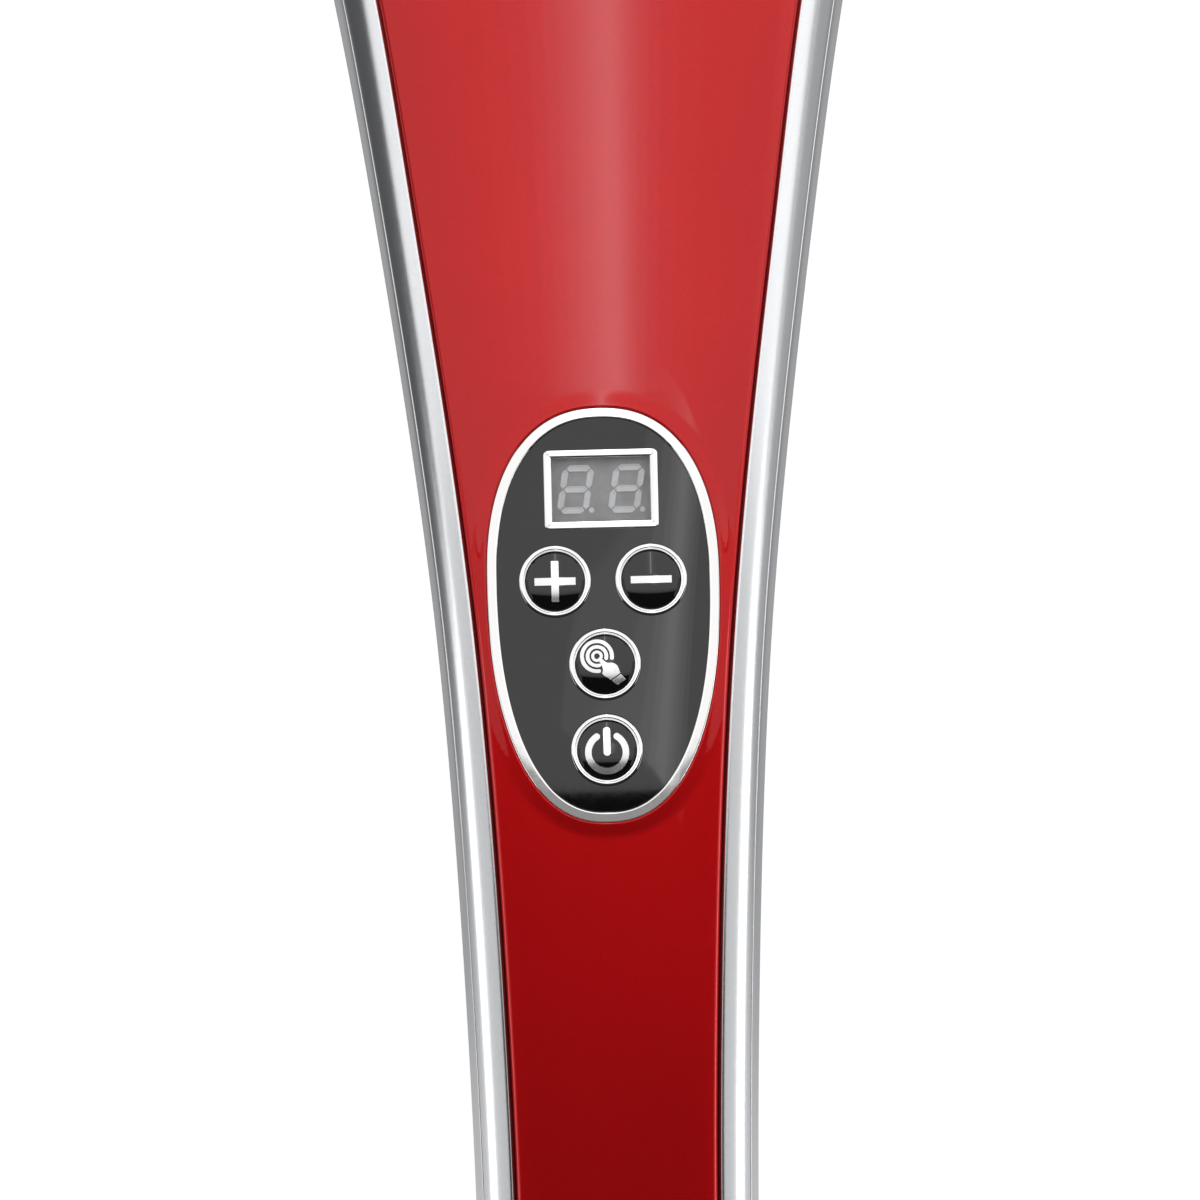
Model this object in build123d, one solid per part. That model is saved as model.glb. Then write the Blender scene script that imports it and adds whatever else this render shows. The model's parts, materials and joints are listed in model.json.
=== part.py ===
from build123d import *
import math
import os

# Handheld percussion body massager with a long curved handle.
# Units are millimetres, +Z is up.  The massager lies on its two massage pads
# and on the underside of its tail.  While it is drawn, y is measured from the
# middle of the display (the "station"); at export everything moves back by
# Y_SHIFT, so that the origin is under the middle of the whole length.

# ------------------------------------------------------------ driving sizes
TAIL_END = -175.0          # flat end of the handle
NOSE_END = 225.0           # front of the head
Y_SHIFT = 25.0             # middle of the length
HEAD_HALF_W = 52.5         # widest half width of the head
HEAD_STATION = 175.0       # where the head is widest
CROWN_Z = 86.8             # highest point of the back line
CROWN_STATION = 92.0
BACK_LINE_K = 1400.0       # back line: z = CROWN_Z - (s - CROWN_STATION)^2 / BACK_LINE_K
NOSE_MID_Z = 50.0          # height of the nose tip
SEAM_INSET = 1.4           # plan distance from the outline to the casing seam
TOP_SHARE = 0.42           # share of the thickness above the widest level

PANEL_T = 2.1              # red cover panel
PANEL_GAP = 0.38           # shadow gap round the red panel
WALL_SIDE, WALL_TOP, WALL_BOTTOM = 2.4, 4.6, 2.5   # top wall counts from the red skin

EGG_STATION = 3.0          # widest station of the egg shaped control panel
EGG_HALF_W, EGG_UP, EGG_DOWN, EGG_N = 17.9, 26.6, 37.2, 2.32
EGG_RING_W = 1.55
RING_PROUD = 0.45

BUTTON_R = 4.52            # button cap
RING_IN_R, RING_OUT_R = 4.60, 5.55
BUTTON_TRAVEL = 0.6
BUTTONS = {"plus": (-7.4, 3.0), "minus": (7.4, 3.0), "mode": (0.0, -9.9), "power": (0.0, -23.1)}
DISPLAY_STATION = 17.1
DISPLAY_W, DISPLAY_H = 17.6, 12.2
WINDOW_W, WINDOW_H = 15.1, 9.6

MOTOR_Z = 62.0             # motor axis
MOTOR_R = 18.0
MOTOR_REAR, MOTOR_FRONT = 76.0, 124.0
SHAFT_R = 2.5
CAM_E = 1.5                # throw of the eccentric
BEARING_BORE_R, BEARING_OUT_R, BEARING_W = 5.0, 9.5, 5.0
PIVOT_Z = 42.0             # rocker pivot axis
PIVOT_PIN_R = 3.0
BUSH_CLEAR = 0.04
NODE_X, NODE_STATION = 27.0, 172.0
NODE_R = 22.5
STEM_R = 9.0
CELL_R, CELL_L = 9.2, 65.0
JACK_Z = 16.7
JACK_BORE_R, JACK_PIN_R = 2.85, 1.0


# ------------------------------------------------------------ smooth laws
def spline_law(points, slope0=None, slope1=None):
    """A cubic spline through the points, with given or natural end slopes."""
    xs = [p[0] for p in points]
    ys = [p[1] for p in points]
    n = len(xs)
    h = [xs[i + 1] - xs[i] for i in range(n - 1)]
    a, b, c, d = [0.0] * n, [0.0] * n, [0.0] * n, [0.0] * n
    if slope0 is None:
        b[0], c[0], d[0] = 1.0, 0.0, 0.0
    else:
        b[0], c[0] = 2 * h[0], h[0]
        d[0] = 6 * ((ys[1] - ys[0]) / h[0] - slope0)
    for i in range(1, n - 1):
        a[i], b[i], c[i] = h[i - 1], 2 * (h[i - 1] + h[i]), h[i]
        d[i] = 6 * ((ys[i + 1] - ys[i]) / h[i] - (ys[i] - ys[i - 1]) / h[i - 1])
    if slope1 is None:
        b[-1] = 1.0
    else:
        a[-1], b[-1] = h[-1], 2 * h[-1]
        d[-1] = 6 * (slope1 - (ys[-1] - ys[-2]) / h[-1])
    for i in range(1, n):
        w = a[i] / b[i - 1]
        b[i] -= w * c[i - 1]
        d[i] -= w * d[i - 1]
    m = [0.0] * n
    m[-1] = d[-1] / b[-1]
    for i in range(n - 2, -1, -1):
        m[i] = (d[i] - c[i] * m[i + 1]) / b[i]

    def value(x):
        x = min(max(x, xs[0]), xs[-1])
        i = 0
        while i < n - 2 and x > xs[i + 1]:
            i += 1
        t, u, hi = x - xs[i], xs[i + 1] - x, h[i]
        return (m[i] * u ** 3 + m[i + 1] * t ** 3) / (6 * hi) \
            + (ys[i] / hi - m[i] * hi / 6) * u + (ys[i + 1] / hi - m[i + 1] * hi / 6) * t
    return value


outline_w = spline_law([(-160, 23.3), (-140, 22.5), (-115, 22.0), (-92, 22.1), (-61.5, 22.87),
                        (-30.8, 24.25), (0, 26.5), (30.8, 30.05), (61.5, 34.35), (92.3, 39.25),
                        (120, 44.4), (145, 48.9), (160, 51.2), (175, HEAD_HALF_W)], -0.03, 0.0)
panel_w = spline_law([(-155, 16.75), (-135, 16.1), (-115, 15.7), (-92, 15.75), (-61.5, 16.5),
                      (-30.8, 17.9), (0, 20.25), (30.8, 23.8), (61.5, 28.05), (92.3, 32.55),
                      (120, 37.6), (145, 42.1), (160, 44.4), (175, 45.7)], -0.03, 0.0)
belly_z = spline_law([(-175, -5.0), (-160, 1.9), (-140, 10.6), (-100, 22.8), (-60, 32.0),
                      (-20, 38.6), (20, 41.3), (50, 40.2), (75, 36.6), (100, 30.2),
                      (115, 26.7), (128, 25.2), (145, 25.0), (175, 25.0), (225, 25.0)])


def back_z(s):
    return CROWN_Z - (s - CROWN_STATION) ** 2 / BACK_LINE_K


def smoothstep(x, x0, x1):
    t = min(max((x - x0) / (x1 - x0), 0.0), 1.0)
    return t * t * (3 - 2 * t)


def section(s, side=0.0, top=0.0, bottom=0.0, end=0.0):
    """Half width, top z, bottom z and lower exponent of the skin at a station,
    drawn inwards by the given wall thicknesses."""
    w = outline_w(s) - side
    zt, zb = back_z(s) - top, belly_z(s) + bottom
    if s < -160:
        d = math.sqrt(max(0.0, 1 - ((-s - 160) / (15.0 - end)) ** 2))
        w = (14.0 - side) + (outline_w(-160) - 14.0) * d
        zt -= 8.5 * (1 - d)
        zb += 10.0 * (1 - d)
    if s > HEAD_STATION:
        a = (NOSE_END + 0.6 - end) - HEAD_STATION
        w = (HEAD_HALF_W - side) * math.sqrt(max(0.0, 1 - ((s - HEAD_STATION) / a) ** 2))
    if s > 188:
        q = (s - 188) / (NOSE_END + 0.6 - end - 188)
        zt = NOSE_MID_Z + (zt - NOSE_MID_Z) * max(0.0, 1 - q ** 2.3) ** (1 / 2.3)
    if s > 196:
        q = (s - 196) / (NOSE_END + 0.6 - end - 196)
        zb = NOSE_MID_Z - (NOSE_MID_Z - zb) * max(0.0, 1 - q ** 2.2) ** (1 / 2.2)
    nb = 2.6 + 2.4 * smoothstep(s, 40, 130)
    return w, zt, zb, nb


RING_N = 36
RING_PAR = [i / RING_N for i in range(RING_N + 1)]


def ring_wire(s, **inset):
    w, zt, zb, nb = section(s, **inset)
    ht = TOP_SHARE * (zt - zb) if not inset else None
    if inset:
        w0, zt0, zb0, nb0 = section(s)
        zw = zt0 - TOP_SHARE * (zt0 - zb0)
        ends = inset.get("end", 0.0)
        if ends and (s < -160 or s > 188):
            zw = zt - TOP_SHARE * (zt - zb)
        ht = zt - zw
    else:
        zw = zt - ht
    hb = zw - zb
    pts = []
    for i in range(RING_N):
        a = -math.pi / 2 + 2 * math.pi * i / RING_N
        c, sn = math.cos(a), math.sin(a)
        if abs(c) < 1e-9:
            c = 0.0
        n, h = (4.0, ht) if sn >= 0 else (nb, hb)
        r = (abs(c / w) ** n + abs(sn / h) ** n) ** (-1.0 / n)
        pts.append((r * c, s, zw + r * sn))
    return Wire([Edge.make_spline(pts, periodic=True, parameters=RING_PAR)])


def stations(tail, nose):
    st = []
    rt = -160 - tail
    for k in range(5):
        st.append(-160 - rt * math.sin(math.radians(90 - 18 * k)))
    st += [-160, -146, -130, -112, -94, -76, -58, -40, -22, -4, 14, 32, 50, 68, 86, 102, 116, 130,
           146, 162, 176]
    a = nose - 188.0
    for k in range(7):
        st.append(188 + a * math.sin(math.radians(13.0 * k)))
    st.append(nose)
    return sorted(set(round(v, 4) for v in st))


def seam_z(s):
    w, zt, zb, _ = section(s)
    ht = TOP_SHARE * (zt - zb)
    return zt - ht + ht * (1 - ((w - SEAM_INSET) / w) ** 4) ** 0.25


def skin_top(x, s):
    w, zt, zb, _ = section(s)
    ht = TOP_SHARE * (zt - zb)
    return zt - ht + ht * max(0.0, 1 - abs(x / w) ** 4) ** 0.25


def half_panel(s, off=0.0):
    if s > HEAD_STATION:
        a = 40.5 + off
        return (45.7 + off) * math.sqrt(max(0.0, 1 - ((s - HEAD_STATION) / a) ** 2))
    if s < -155:
        a = 12.5 + off
        return (16.75 + off) * max(0.0, 1 - ((-s - 155) / a) ** 2.2) ** (1 / 2.2)
    return panel_w(s) + off


def panel_outline(off=0.0):
    """Closed plan outline of the red panel, moved outwards by off."""
    right = []
    a = 12.5 + off
    for k in range(8):
        right.append(-155 - a * math.cos(math.radians(11.25 * k)))
    right += [-155, -145, -130, -115, -100, -85, -70, -55, -40, -25, -10, 5, 20, 35, 50, 65, 80,
              95, 110, 125, 140, 152, 164]
    a = 40.5 + off
    for k in range(0, 9):
        right.append(HEAD_STATION + a * math.sin(math.radians(10 * k)))
    right.append(HEAD_STATION + a)
    pts = [(half_panel(s, off), s) for s in right]
    pts[0] = (0.0, right[0])
    pts[-1] = (0.0, right[-1])
    left = [(-x, s) for x, s in pts[1:-1]][::-1]
    return pts + left


def prism(outline, z0, z1):
    """Vertical prism from closed plan points (x, y)."""
    e = Edge.make_spline([(x, y, z0) for x, y in outline], periodic=True)
    return extrude(Face(Wire([e])), amount=z1 - z0, dir=(0, 0, 1))


# ------------------------------------------------------------ panel frame
S_MID = EGG_STATION + (EGG_UP - EGG_DOWN) / 2          # middle of the control panel
SLOPE = -2 * (S_MID - CROWN_STATION) / BACK_LINE_K
TILT = math.atan(SLOPE)
NORMAL = Vector(0, -math.sin(TILT), math.cos(TILT))
ORIGIN = Vector(0, S_MID, back_z(S_MID))
FRAME = Plane(origin=ORIGIN, x_dir=(1, 0, 0), z_dir=NORMAL)


def lift(x, s):
    """Height of the outer skin above the panel plane at (x, station)."""
    v = (s - S_MID) / math.cos(TILT)
    for _ in range(4):
        y = S_MID + v * math.cos(TILT)
        p = Vector(x, y, skin_top(x, y)) - ORIGIN
        hgt = p.dot(NORMAL)
        v_here = p.dot(Vector(0, math.cos(TILT), math.sin(TILT)))
        v += (s - S_MID) - v_here
    return hgt


def at(x, s, z=0.0):
    """Location in the panel frame; s counts along the panel like a station."""
    return FRAME.location * Pos(x, s - S_MID, z)


def egg(off=0.0, n=72):
    pts = []
    for i in range(n):
        a = 2 * math.pi * i / n
        c, sn = math.cos(a), math.sin(a)
        up = (EGG_UP if sn >= 0 else EGG_DOWN) + off
        hw = EGG_HALF_W + off
        r = (abs(c) ** EGG_N + abs(sn) ** EGG_N) ** (-1 / EGG_N)
        pts.append((hw * r * c, EGG_STATION - S_MID + up * r * sn))
    return pts


def egg_prism(off, z0=-9.0, z1=9.0):
    e = Edge.make_spline([(x, y, z0) for x, y in egg(off)], periodic=True)
    return FRAME.location * extrude(Face(Wire([e])), amount=z1 - z0, dir=(0, 0, 1))


def cyl(r, z0, z1):
    return Pos(0, 0, (z0 + z1) / 2) * Cylinder(r, z1 - z0)


def cyl_y(r, x, z, y0, y1):
    return Pos(x, (y0 + y1) / 2, z) * Rot(90, 0, 0) * Cylinder(r, abs(y1 - y0))


def slab(x0, x1, y0, y1, z0, z1):
    return Pos((x0 + x1) / 2, (y0 + y1) / 2, (z0 + z1) / 2) * Box(x1 - x0, y1 - y0, z1 - z0)


def poly_prism(points, z0, z1):
    return extrude(Face(Wire.make_polygon([(x, y, z0) for x, y in points], close=True)),
                   amount=z1 - z0, dir=(0, 0, 1))


def tube_path(points, r, bend):
    line = FilletPolyline(*points, radius=bend)
    start = Plane(origin=line @ 0, z_dir=line % 0)
    return sweep(start * Circle(r), path=line)


nodes = {}

# ------------------------------------------------------------ skins
skin = Solid.make_loft([ring_wire(s) for s in stations(TAIL_END, NOSE_END)])
cavity = Solid.make_loft([ring_wire(s, side=WALL_SIDE, top=WALL_TOP, bottom=WALL_BOTTOM, end=3.0)
                          for s in stations(TAIL_END + 3, NOSE_END - 3)])
print("skin", skin.is_valid, "cavity", cavity.is_valid)

seam_st = [-172, -158, -140, -112, -84, -56, -28, 0, 28, 56, 84, 112, 140, 164, 184, 200, 212, 221]
seam_pts = [(0, s, seam_z(s)) for s in seam_st]
seam_pts = [(0, TAIL_END - 12, seam_pts[0][2] - 5.5)] + seam_pts + [(0, NOSE_END + 12, seam_pts[-1][2] - 13)]
seam_edge = Edge.make_spline(seam_pts)
e1 = Edge.make_line(seam_pts[-1], (0, NOSE_END + 12, 140))
e2 = Edge.make_line((0, NOSE_END + 12, 140), (0, TAIL_END - 12, 140))
e3 = Edge.make_line((0, TAIL_END - 12, 140), seam_pts[0])
above = Pos(-70, 0, 0) * extrude(Face(Wire([seam_edge, e1, e2, e3])), amount=140, dir=(1, 0, 0))
e1 = Edge.make_line(seam_pts[-1], (0, NOSE_END + 12, -40))
e2 = Edge.make_line((0, NOSE_END + 12, -40), (0, TAIL_END - 12, -40))
e3 = Edge.make_line((0, TAIL_END - 12, -40), seam_pts[0])
below = Pos(-70, 0, 0) * extrude(Face(Wire([seam_edge, e1, e2, e3])), amount=140, dir=(1, 0, 0))

column_low = prism(panel_outline(1.2), -20, 130) & (Pos(0, 0, -PANEL_T) * skin)
red_blank = (prism(panel_outline(0.0), -20, 130) & skin) - column_low
recess = (prism(panel_outline(PANEL_GAP), -20, 130) & (Pos(0, 0, 6) * skin)) - column_low

# ------------------------------------------------------------ battery line
B0 = Vector(0, -157.5, 23.5)
BAT_ANGLE = math.atan2(31.5, 128.9)
BAT_DIR = Vector(0, math.cos(BAT_ANGLE), math.sin(BAT_ANGLE))
BAT = Plane(origin=B0, x_dir=(1, 0, 0), z_dir=BAT_DIR)      # local y points down-forward


def bat_z(s):
    return B0.Z + (s - B0.Y) * math.tan(BAT_ANGLE)


# ------------------------------------------------------------ posts, ribs
SCREWS = [(16.2, -152.0), (17.0, -40.0), (27.0, 62.0), (40.0, 130.0), (24.0, 207.0)]
screw_xy = [(sx * x, s) for x, s in SCREWS for sx in (-1, 1)]
POST_R = 3.8
posts = [Pos(x, s, 0) * cyl(POST_R, -10, 100) for x, s in screw_xy]
PCB_TOP_Z, PCB_Z = 51.6, 50.0
pcb_posts = [(sx * 13.0, s) for s in (-9.0, 40.0) for sx in (-1, 1)]
posts += [Pos(x, s, 0) * cyl(2.8, 20, PCB_Z) for x, s in pcb_posts]
CHASSIS_Z = 29.5
chassis_posts = [(sx * 7.0, s) for s in (146.0, 190.0) for sx in (-1, 1)]
posts += [Pos(x, s, 0) * cyl(3.4, 15, CHASSIS_Z) for x, s in chassis_posts]
key_posts = [(sx * 12.3, s) for s in (-24.4, 23.8) for sx in (-1, 1)]
KEY_TOP = -10.4                      # top of the keypad board in the panel frame
key_bosses = [at(x, s) * cyl(2.6, KEY_TOP, -3.2) for x, s in key_posts]     # they hang from the deck
motor_rib = slab(-60, 60, 81, 87, 10, 100) - cyl_y(MOTOR_R + 1.6, 0, MOTOR_Z, 70, 95) \
    - slab(-9, 9, 80, 88, 10, 50)
posts.append(motor_rib)
for s in (-132.0, -62.0):
    rib = slab(-30, 30, s - 1.1, s + 1.1, -5, bat_z(s)) - (BAT.location * cyl(11.0, -5, 140))
    posts.append(rib)
hollow_up, hollow_low = cavity & above, cavity & below
for p in posts:
    hollow_up = hollow_up - p
    hollow_low = hollow_low - p
upper = ((skin & above) - recess) - hollow_up
for p in key_bosses:
    upper = upper + p
lower = (skin & below) - hollow_low
print("upper", upper.volume, len(upper.solids()), "lower", lower.volume, len(lower.solids()))

# flat spot under the tail, so that it rests on its own small face
lower = lower - slab(-60, 60, -190, -120, -20, 0)

# screw holes: counterbore from below, clearance through the post, pilot above
casing_screws = []
for x, s in screw_xy:
    zs = seam_z(s)
    zl = belly_z(s)
    head_top = max(zl + 4.5, zs - 24.0)
    lower = lower - Pos(x, s, 0) * cyl(2.9, -10, head_top) - Pos(x, s, 0) * cyl(1.52, head_top - 1, zs + 9)
    upper = upper - Pos(x, s, 0) * cyl(1.52, zs - 12, min(zs + 6.0, skin_top(x, s) - 3.4))
    top = min(zs + 5.6, skin_top(x, s) - 3.8)
    scr = Pos(x, s, 0) * (cyl(1.5, head_top - 0.5, top) + cyl(2.75, head_top - 2.4, head_top)
                          - cyl(1.1, head_top - 3, head_top - 1.2))
    casing_screws.append(scr)

# openings in the deck under the control panel
for name, (x, s) in BUTTONS.items():
    upper = upper - at(x, s) * cyl(4.75, -9, 3)
upper = upper - at(0, DISPLAY_STATION) * (Pos(0, 0, -3) * Box(16.0, 10.6, 12))
for x, s in key_posts:
    upper = upper - at(x, s) * cyl(1.02, KEY_TOP - 1, -5.2)

# sockets for the two massage heads, vents, charging inlet
for sx in (-1, 1):
    lower = lower - Pos(sx * NODE_X, NODE_STATION, 0) * cyl(15.5, 10, 34)
for x in (-12.0, -7.2, -2.4, 2.4, 7.2, 12.0):
    ln = 9.0 - abs(x) * 0.22
    lower = lower - (slab(x - 0.9, x + 0.9, 103 - ln, 103 + ln, 20, 40))
lower = lower - cyl_y(4.4, 0, JACK_Z, -180, -165)
for x, s in pcb_posts:
    lower = lower - Pos(x, s, 0) * cyl(1.02, 43.5, 60)
for x, s in chassis_posts:
    lower = lower - Pos(x, s, 0) * cyl(1.22, 26.6, 40)

# soft grip let into the underside of the handle
grip_plan = []
for i in range(40):
    a = 2 * math.pi * i / 40
    c, sn = math.cos(a), math.sin(a)
    r = (abs(c) ** 3.2 + abs(sn) ** 3.2) ** (-1 / 3.2)
    grip_plan.append((14.0 * r * c, -96.0 + 42.0 * r * sn))
grip_big = [(x * 1.06, -96 + (y + 96) * 1.02) for x, y in grip_plan]
GRIP_T = 1.2
grip_col = prism(grip_big, -20, 100) & (Pos(0, 0, GRIP_T) * skin)
rear_grip = (prism(grip_plan, -20, 100) & skin) - grip_col
rear_grip = max(rear_grip.solids(), key=lambda q: -q.center().Z)
lower = lower - rear_grip
# cross ribs on the grip for the fingers
for k in range(9):
    y = -124 + 7.0 * k
    groove = slab(-9.5, 9.5, y - 0.8, y + 0.8, -10, belly_z(y) + 0.45)
    rear_grip = rear_grip - groove

nodes["upper_casing"] = upper
nodes["lower_casing"] = lower
nodes["rear_grip"] = rear_grip
nodes["casing_screws"] = casing_screws

# ------------------------------------------------------------ red panel and control panel
nodes["red_top_panel"] = red_blank - egg_prism(0.0)
deck_col = column_low
proud = Pos(0, 0, RING_PROUD) * skin
ring_band = egg_prism(0.0) - egg_prism(-EGG_RING_W)
nodes["panel_bezel"] = (ring_band & proud) - deck_col
fascia = (egg_prism(-EGG_RING_W) & (Pos(0, 0, 0.05) * skin)) - deck_col


def rounded(w, h, r, z0, z1):
    return extrude(Pos(0, 0, z0) * RectangleRounded(w, h, r), amount=z1 - z0)


for name, (x, s) in BUTTONS.items():
    fascia = fascia - at(x, s) * cyl(RING_OUT_R, -5, 5)
fascia = fascia - at(0, DISPLAY_STATION) * rounded(DISPLAY_W, DISPLAY_H, 0.8, -5, 5)
nodes["control_fascia"] = fascia

dz = lift(0, DISPLAY_STATION)
bezel = rounded(DISPLAY_W, DISPLAY_H, 0.8, -4, dz + 0.45) \
    - Pos(0, 0, 0) * rounded(WINDOW_W, WINDOW_H, 0.12, -6, 5) \
    - rounded(15.5, 10.1, 0.2, -6, dz - 0.35)
nodes["display_bezel"] = (at(0, DISPLAY_STATION) * bezel) - deck_col
nodes["display_window"] = at(0, DISPLAY_STATION) * rounded(15.4, 10.0, 0.2, dz - 1.35, dz - 0.35)
nodes["display_module"] = at(0, DISPLAY_STATION) * rounded(15.2, 9.8, 0.3, KEY_TOP, dz - 1.75)


def digit(cx, z0, z1):
    """Seven bevelled bars of one numeral and its point, leaning to the right."""
    w, h, t = 3.95, 6.5, 1.02
    lean = math.tan(math.radians(9))
    g = 0.10
    hw, hh, q = w / 2, h / 2, t / 2

    def hexa(x0, y0, x1, y1):
        if y0 == y1:
            p = [(x0 + g, y0), (x0 + g + q, y0 + q), (x1 - g - q, y0 + q), (x1 - g, y0),
                 (x1 - g - q, y0 - q), (x0 + g + q, y0 - q)]
        else:
            p = [(x0, y0 + g), (x0 + q, y0 + g + q), (x0 + q, y1 - g - q), (x0, y1 - g),
                 (x0 - q, y1 - g - q), (x0 - q, y0 + g + q)]
        return [(cx + a + b * lean, b) for a, b in p]
    bars = [hexa(-hw, y, hw, y) for y in (-hh, 0.0, hh)]
    bars += [hexa(x, 0.0, x, hh) for x in (-hw, hw)] + [hexa(x, -hh, x, 0.0) for x in (-hw, hw)]
    out = [poly_prism(b, z0, z1) for b in bars]
    out.append(Pos(cx + hw + 0.95 - hh * lean, -hh, (z0 + z1) / 2) * Cylinder(0.42, z1 - z0))
    return out


seg = digit(-3.92, dz - 1.75, dz - 1.5) + digit(3.95, dz - 1.75, dz - 1.5)
nodes["display_segments"] = [at(0, DISPLAY_STATION) * q for q in seg]

# ------------------------------------------------------------ buttons
DOME_H = 0.85
DOME_BASE = 0.1
dome_r = (BUTTON_R ** 2 + DOME_H ** 2) / (2 * DOME_H)


def cap_shape(h0, up=0.0):
    """Button cap with its retaining flange and post; h0 is the skin height here."""
    body = cyl(BUTTON_R, -6.3, h0 + DOME_BASE + DOME_H)
    ball = Pos(0, 0, h0 + DOME_BASE + DOME_H - dome_r) * Sphere(dome_r)
    body = body & (ball + cyl(BUTTON_R + 1, -7, h0 + DOME_BASE))
    return Pos(0, 0, up) * body


def plus_mark(z0, z1):
    return slab(-3.15, 3.15, -0.575, 0.575, z0, z1) + slab(-0.575, 0.575, -3.15, 3.15, z0, z1)


def minus_mark(z0, z1):
    return slab(-3.15, 3.15, -0.55, 0.55, z0, z1)


def arc_band(r_out, r_in, a0, a1, z0, z1, cx=0.0, cy=0.0, ends=True):
    """Part ring from angle a0 to a1 (degrees, counter-clockwise) with round ends."""
    steps = 28
    outer = [(cx + r_out * math.cos(math.radians(a0 + (a1 - a0) * i / steps)),
              cy + r_out * math.sin(math.radians(a0 + (a1 - a0) * i / steps))) for i in range(steps + 1)]
    inner = [(cx + r_in * math.cos(math.radians(a0 + (a1 - a0) * i / steps)),
              cy + r_in * math.sin(math.radians(a0 + (a1 - a0) * i / steps))) for i in range(steps + 1)]
    band = poly_prism(outer + inner[::-1], z0, z1)
    if ends:
        rm, q = (r_out + r_in) / 2, (r_out - r_in) / 2
        for a in (a0, a1):
            band = band + Pos(cx + rm * math.cos(math.radians(a)), cy + rm * math.sin(math.radians(a)), 0) \
                * cyl(q * 0.999, z0, z1)
    return band


def power_mark(z0, z1):
    bar = Pos(0, 1.35, 0) * rounded(1.1, 4.4, 0.54, z0, z1)
    return [arc_band(3.4, 2.4, 122, 418, z0, z1, 0, -0.35), bar]


def mode_mark(z0, z1):
    cx, cy = -1.22, 1.27
    arcs = [arc_band(2.62, 2.0, -8, 277, z0, z1, cx, cy), arc_band(1.74, 1.16, -14, 284, z0, z1, cx, cy)]
    hand = poly_prism([(-1.12, 0.86), (-0.88, 1.12), (-0.60, 1.08), (-0.42, 0.86), (0.12, 0.36), (0.45, 0.24),
                       (1.15, 0.25), (1.55, 0.08), (1.90, -0.22), (2.12, -0.75), (2.30, -1.38), (1.98, -1.66),
                       (1.00, -2.30), (0.86, -2.48), (0.42, -2.10), (-0.22, -1.76), (-0.48, -1.42), (-0.34, -0.92),
                       (-0.44, -0.42), (-0.82, 0.34)], z0, z1)
    hand = hand + arc_band(0.90, 0.42, -15, 285, z0, z1, cx, cy)
    cuff = poly_prism([(2.38, -1.52), (3.14, -2.38), (1.82, -3.22), (0.98, -2.55), (1.12, -2.42), (2.06, -1.80)], z0, z1)
    return arcs + [hand, cuff]


marks = {"plus": plus_mark, "minus": minus_mark, "mode": mode_mark, "power": power_mark}
rings, switches = [], []
for name, (x, s) in BUTTONS.items():
    h0 = lift(x, s)
    cap = cap_shape(h0)
    button = cap + cyl(5.4, -6.3, -5.35) + cyl(1.5, -8.8, -6.2)
    nodes[name + "_button"] = at(x, s) * button
    raised = cap_shape(h0, 0.12)
    made = marks[name](h0 - 1.0, h0 + 2.0)
    made = made if isinstance(made, list) else [made]
    nodes[name + "_mark"] = [at(x, s) * ((raised & m) - cap) for m in made]
    ring = (cyl(RING_OUT_R, -4, h0 + 0.6) - cyl(RING_IN_R, -5, 5))
    ring = ring & (Pos(0, 0, h0 + 0.6 - 1.0) * Cone(RING_OUT_R + 0.55, RING_OUT_R - 0.45, 2.0)
                   + cyl(RING_OUT_R + 1, -6, h0 - 0.3))
    rings.append((at(x, s) * ring) - deck_col)
    sw = (Pos(0, 0, KEY_TOP + 1.6) * Box(6.0, 6.0, 3.2)) - cyl(1.58, KEY_TOP + 0.5, KEY_TOP + 4)
    switches.append(at(x, s) * sw)
nodes["button_rings"] = rings
nodes["tact_switches"] = switches

KEY_T = 1.2
board = FRAME.location * (Pos(0, (-24.7 + 29.0) / 2, KEY_TOP - KEY_T / 2) * Box(30.0, 53.7, KEY_T))
for x, s in key_posts:
    board = board - at(x, s) * cyl(1.02, -14, -8)
nodes["keypad_pcb"] = board
nodes["keypad_screws"] = [at(x, s) * (cyl(1.0, KEY_TOP - KEY_T - 0.5, -5.6)
                                      + cyl(2.0, KEY_TOP - KEY_T - 1.5, KEY_TOP - KEY_T)
                                      - cyl(0.8, KEY_TOP - KEY_T - 2, KEY_TOP - KEY_T - 0.8)) for x, s in key_posts]

# ------------------------------------------------------------ main board
main = slab(-17, 17, -14, 46, PCB_Z, PCB_TOP_Z)
for x, s in pcb_posts:
    main = main - Pos(x, s, 0) * cyl(1.02, 40, 60)
nodes["main_pcb"] = main
nodes["pcb_screws"] = [Pos(x, s, 0) * (cyl(1.0, 44.2, PCB_TOP_Z + 0.5) + cyl(2.0, PCB_TOP_Z, PCB_TOP_Z + 1.5)
                                       - cyl(0.8, PCB_TOP_Z + 0.7, PCB_TOP_Z + 2)) for x, s in pcb_posts]
comps = [Pos(9.5, 26, 0) * cyl(4.0, PCB_TOP_Z, PCB_TOP_Z + 9.5), Pos(9.5, 14, 0) * cyl(3.2, PCB_TOP_Z, PCB_TOP_Z + 8),
         slab(-10, -2, 4, 14, PCB_TOP_Z, PCB_TOP_Z + 1.6), slab(-13, -6.5, 21, 31, PCB_TOP_Z, PCB_TOP_Z + 4.5),
         slab(-4, 4, 40, 45, PCB_TOP_Z, PCB_TOP_Z + 6), slab(3.5, 8.5, -3, 4, PCB_TOP_Z, PCB_TOP_Z + 2.2)]
nodes["pcb_components"] = comps

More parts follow.
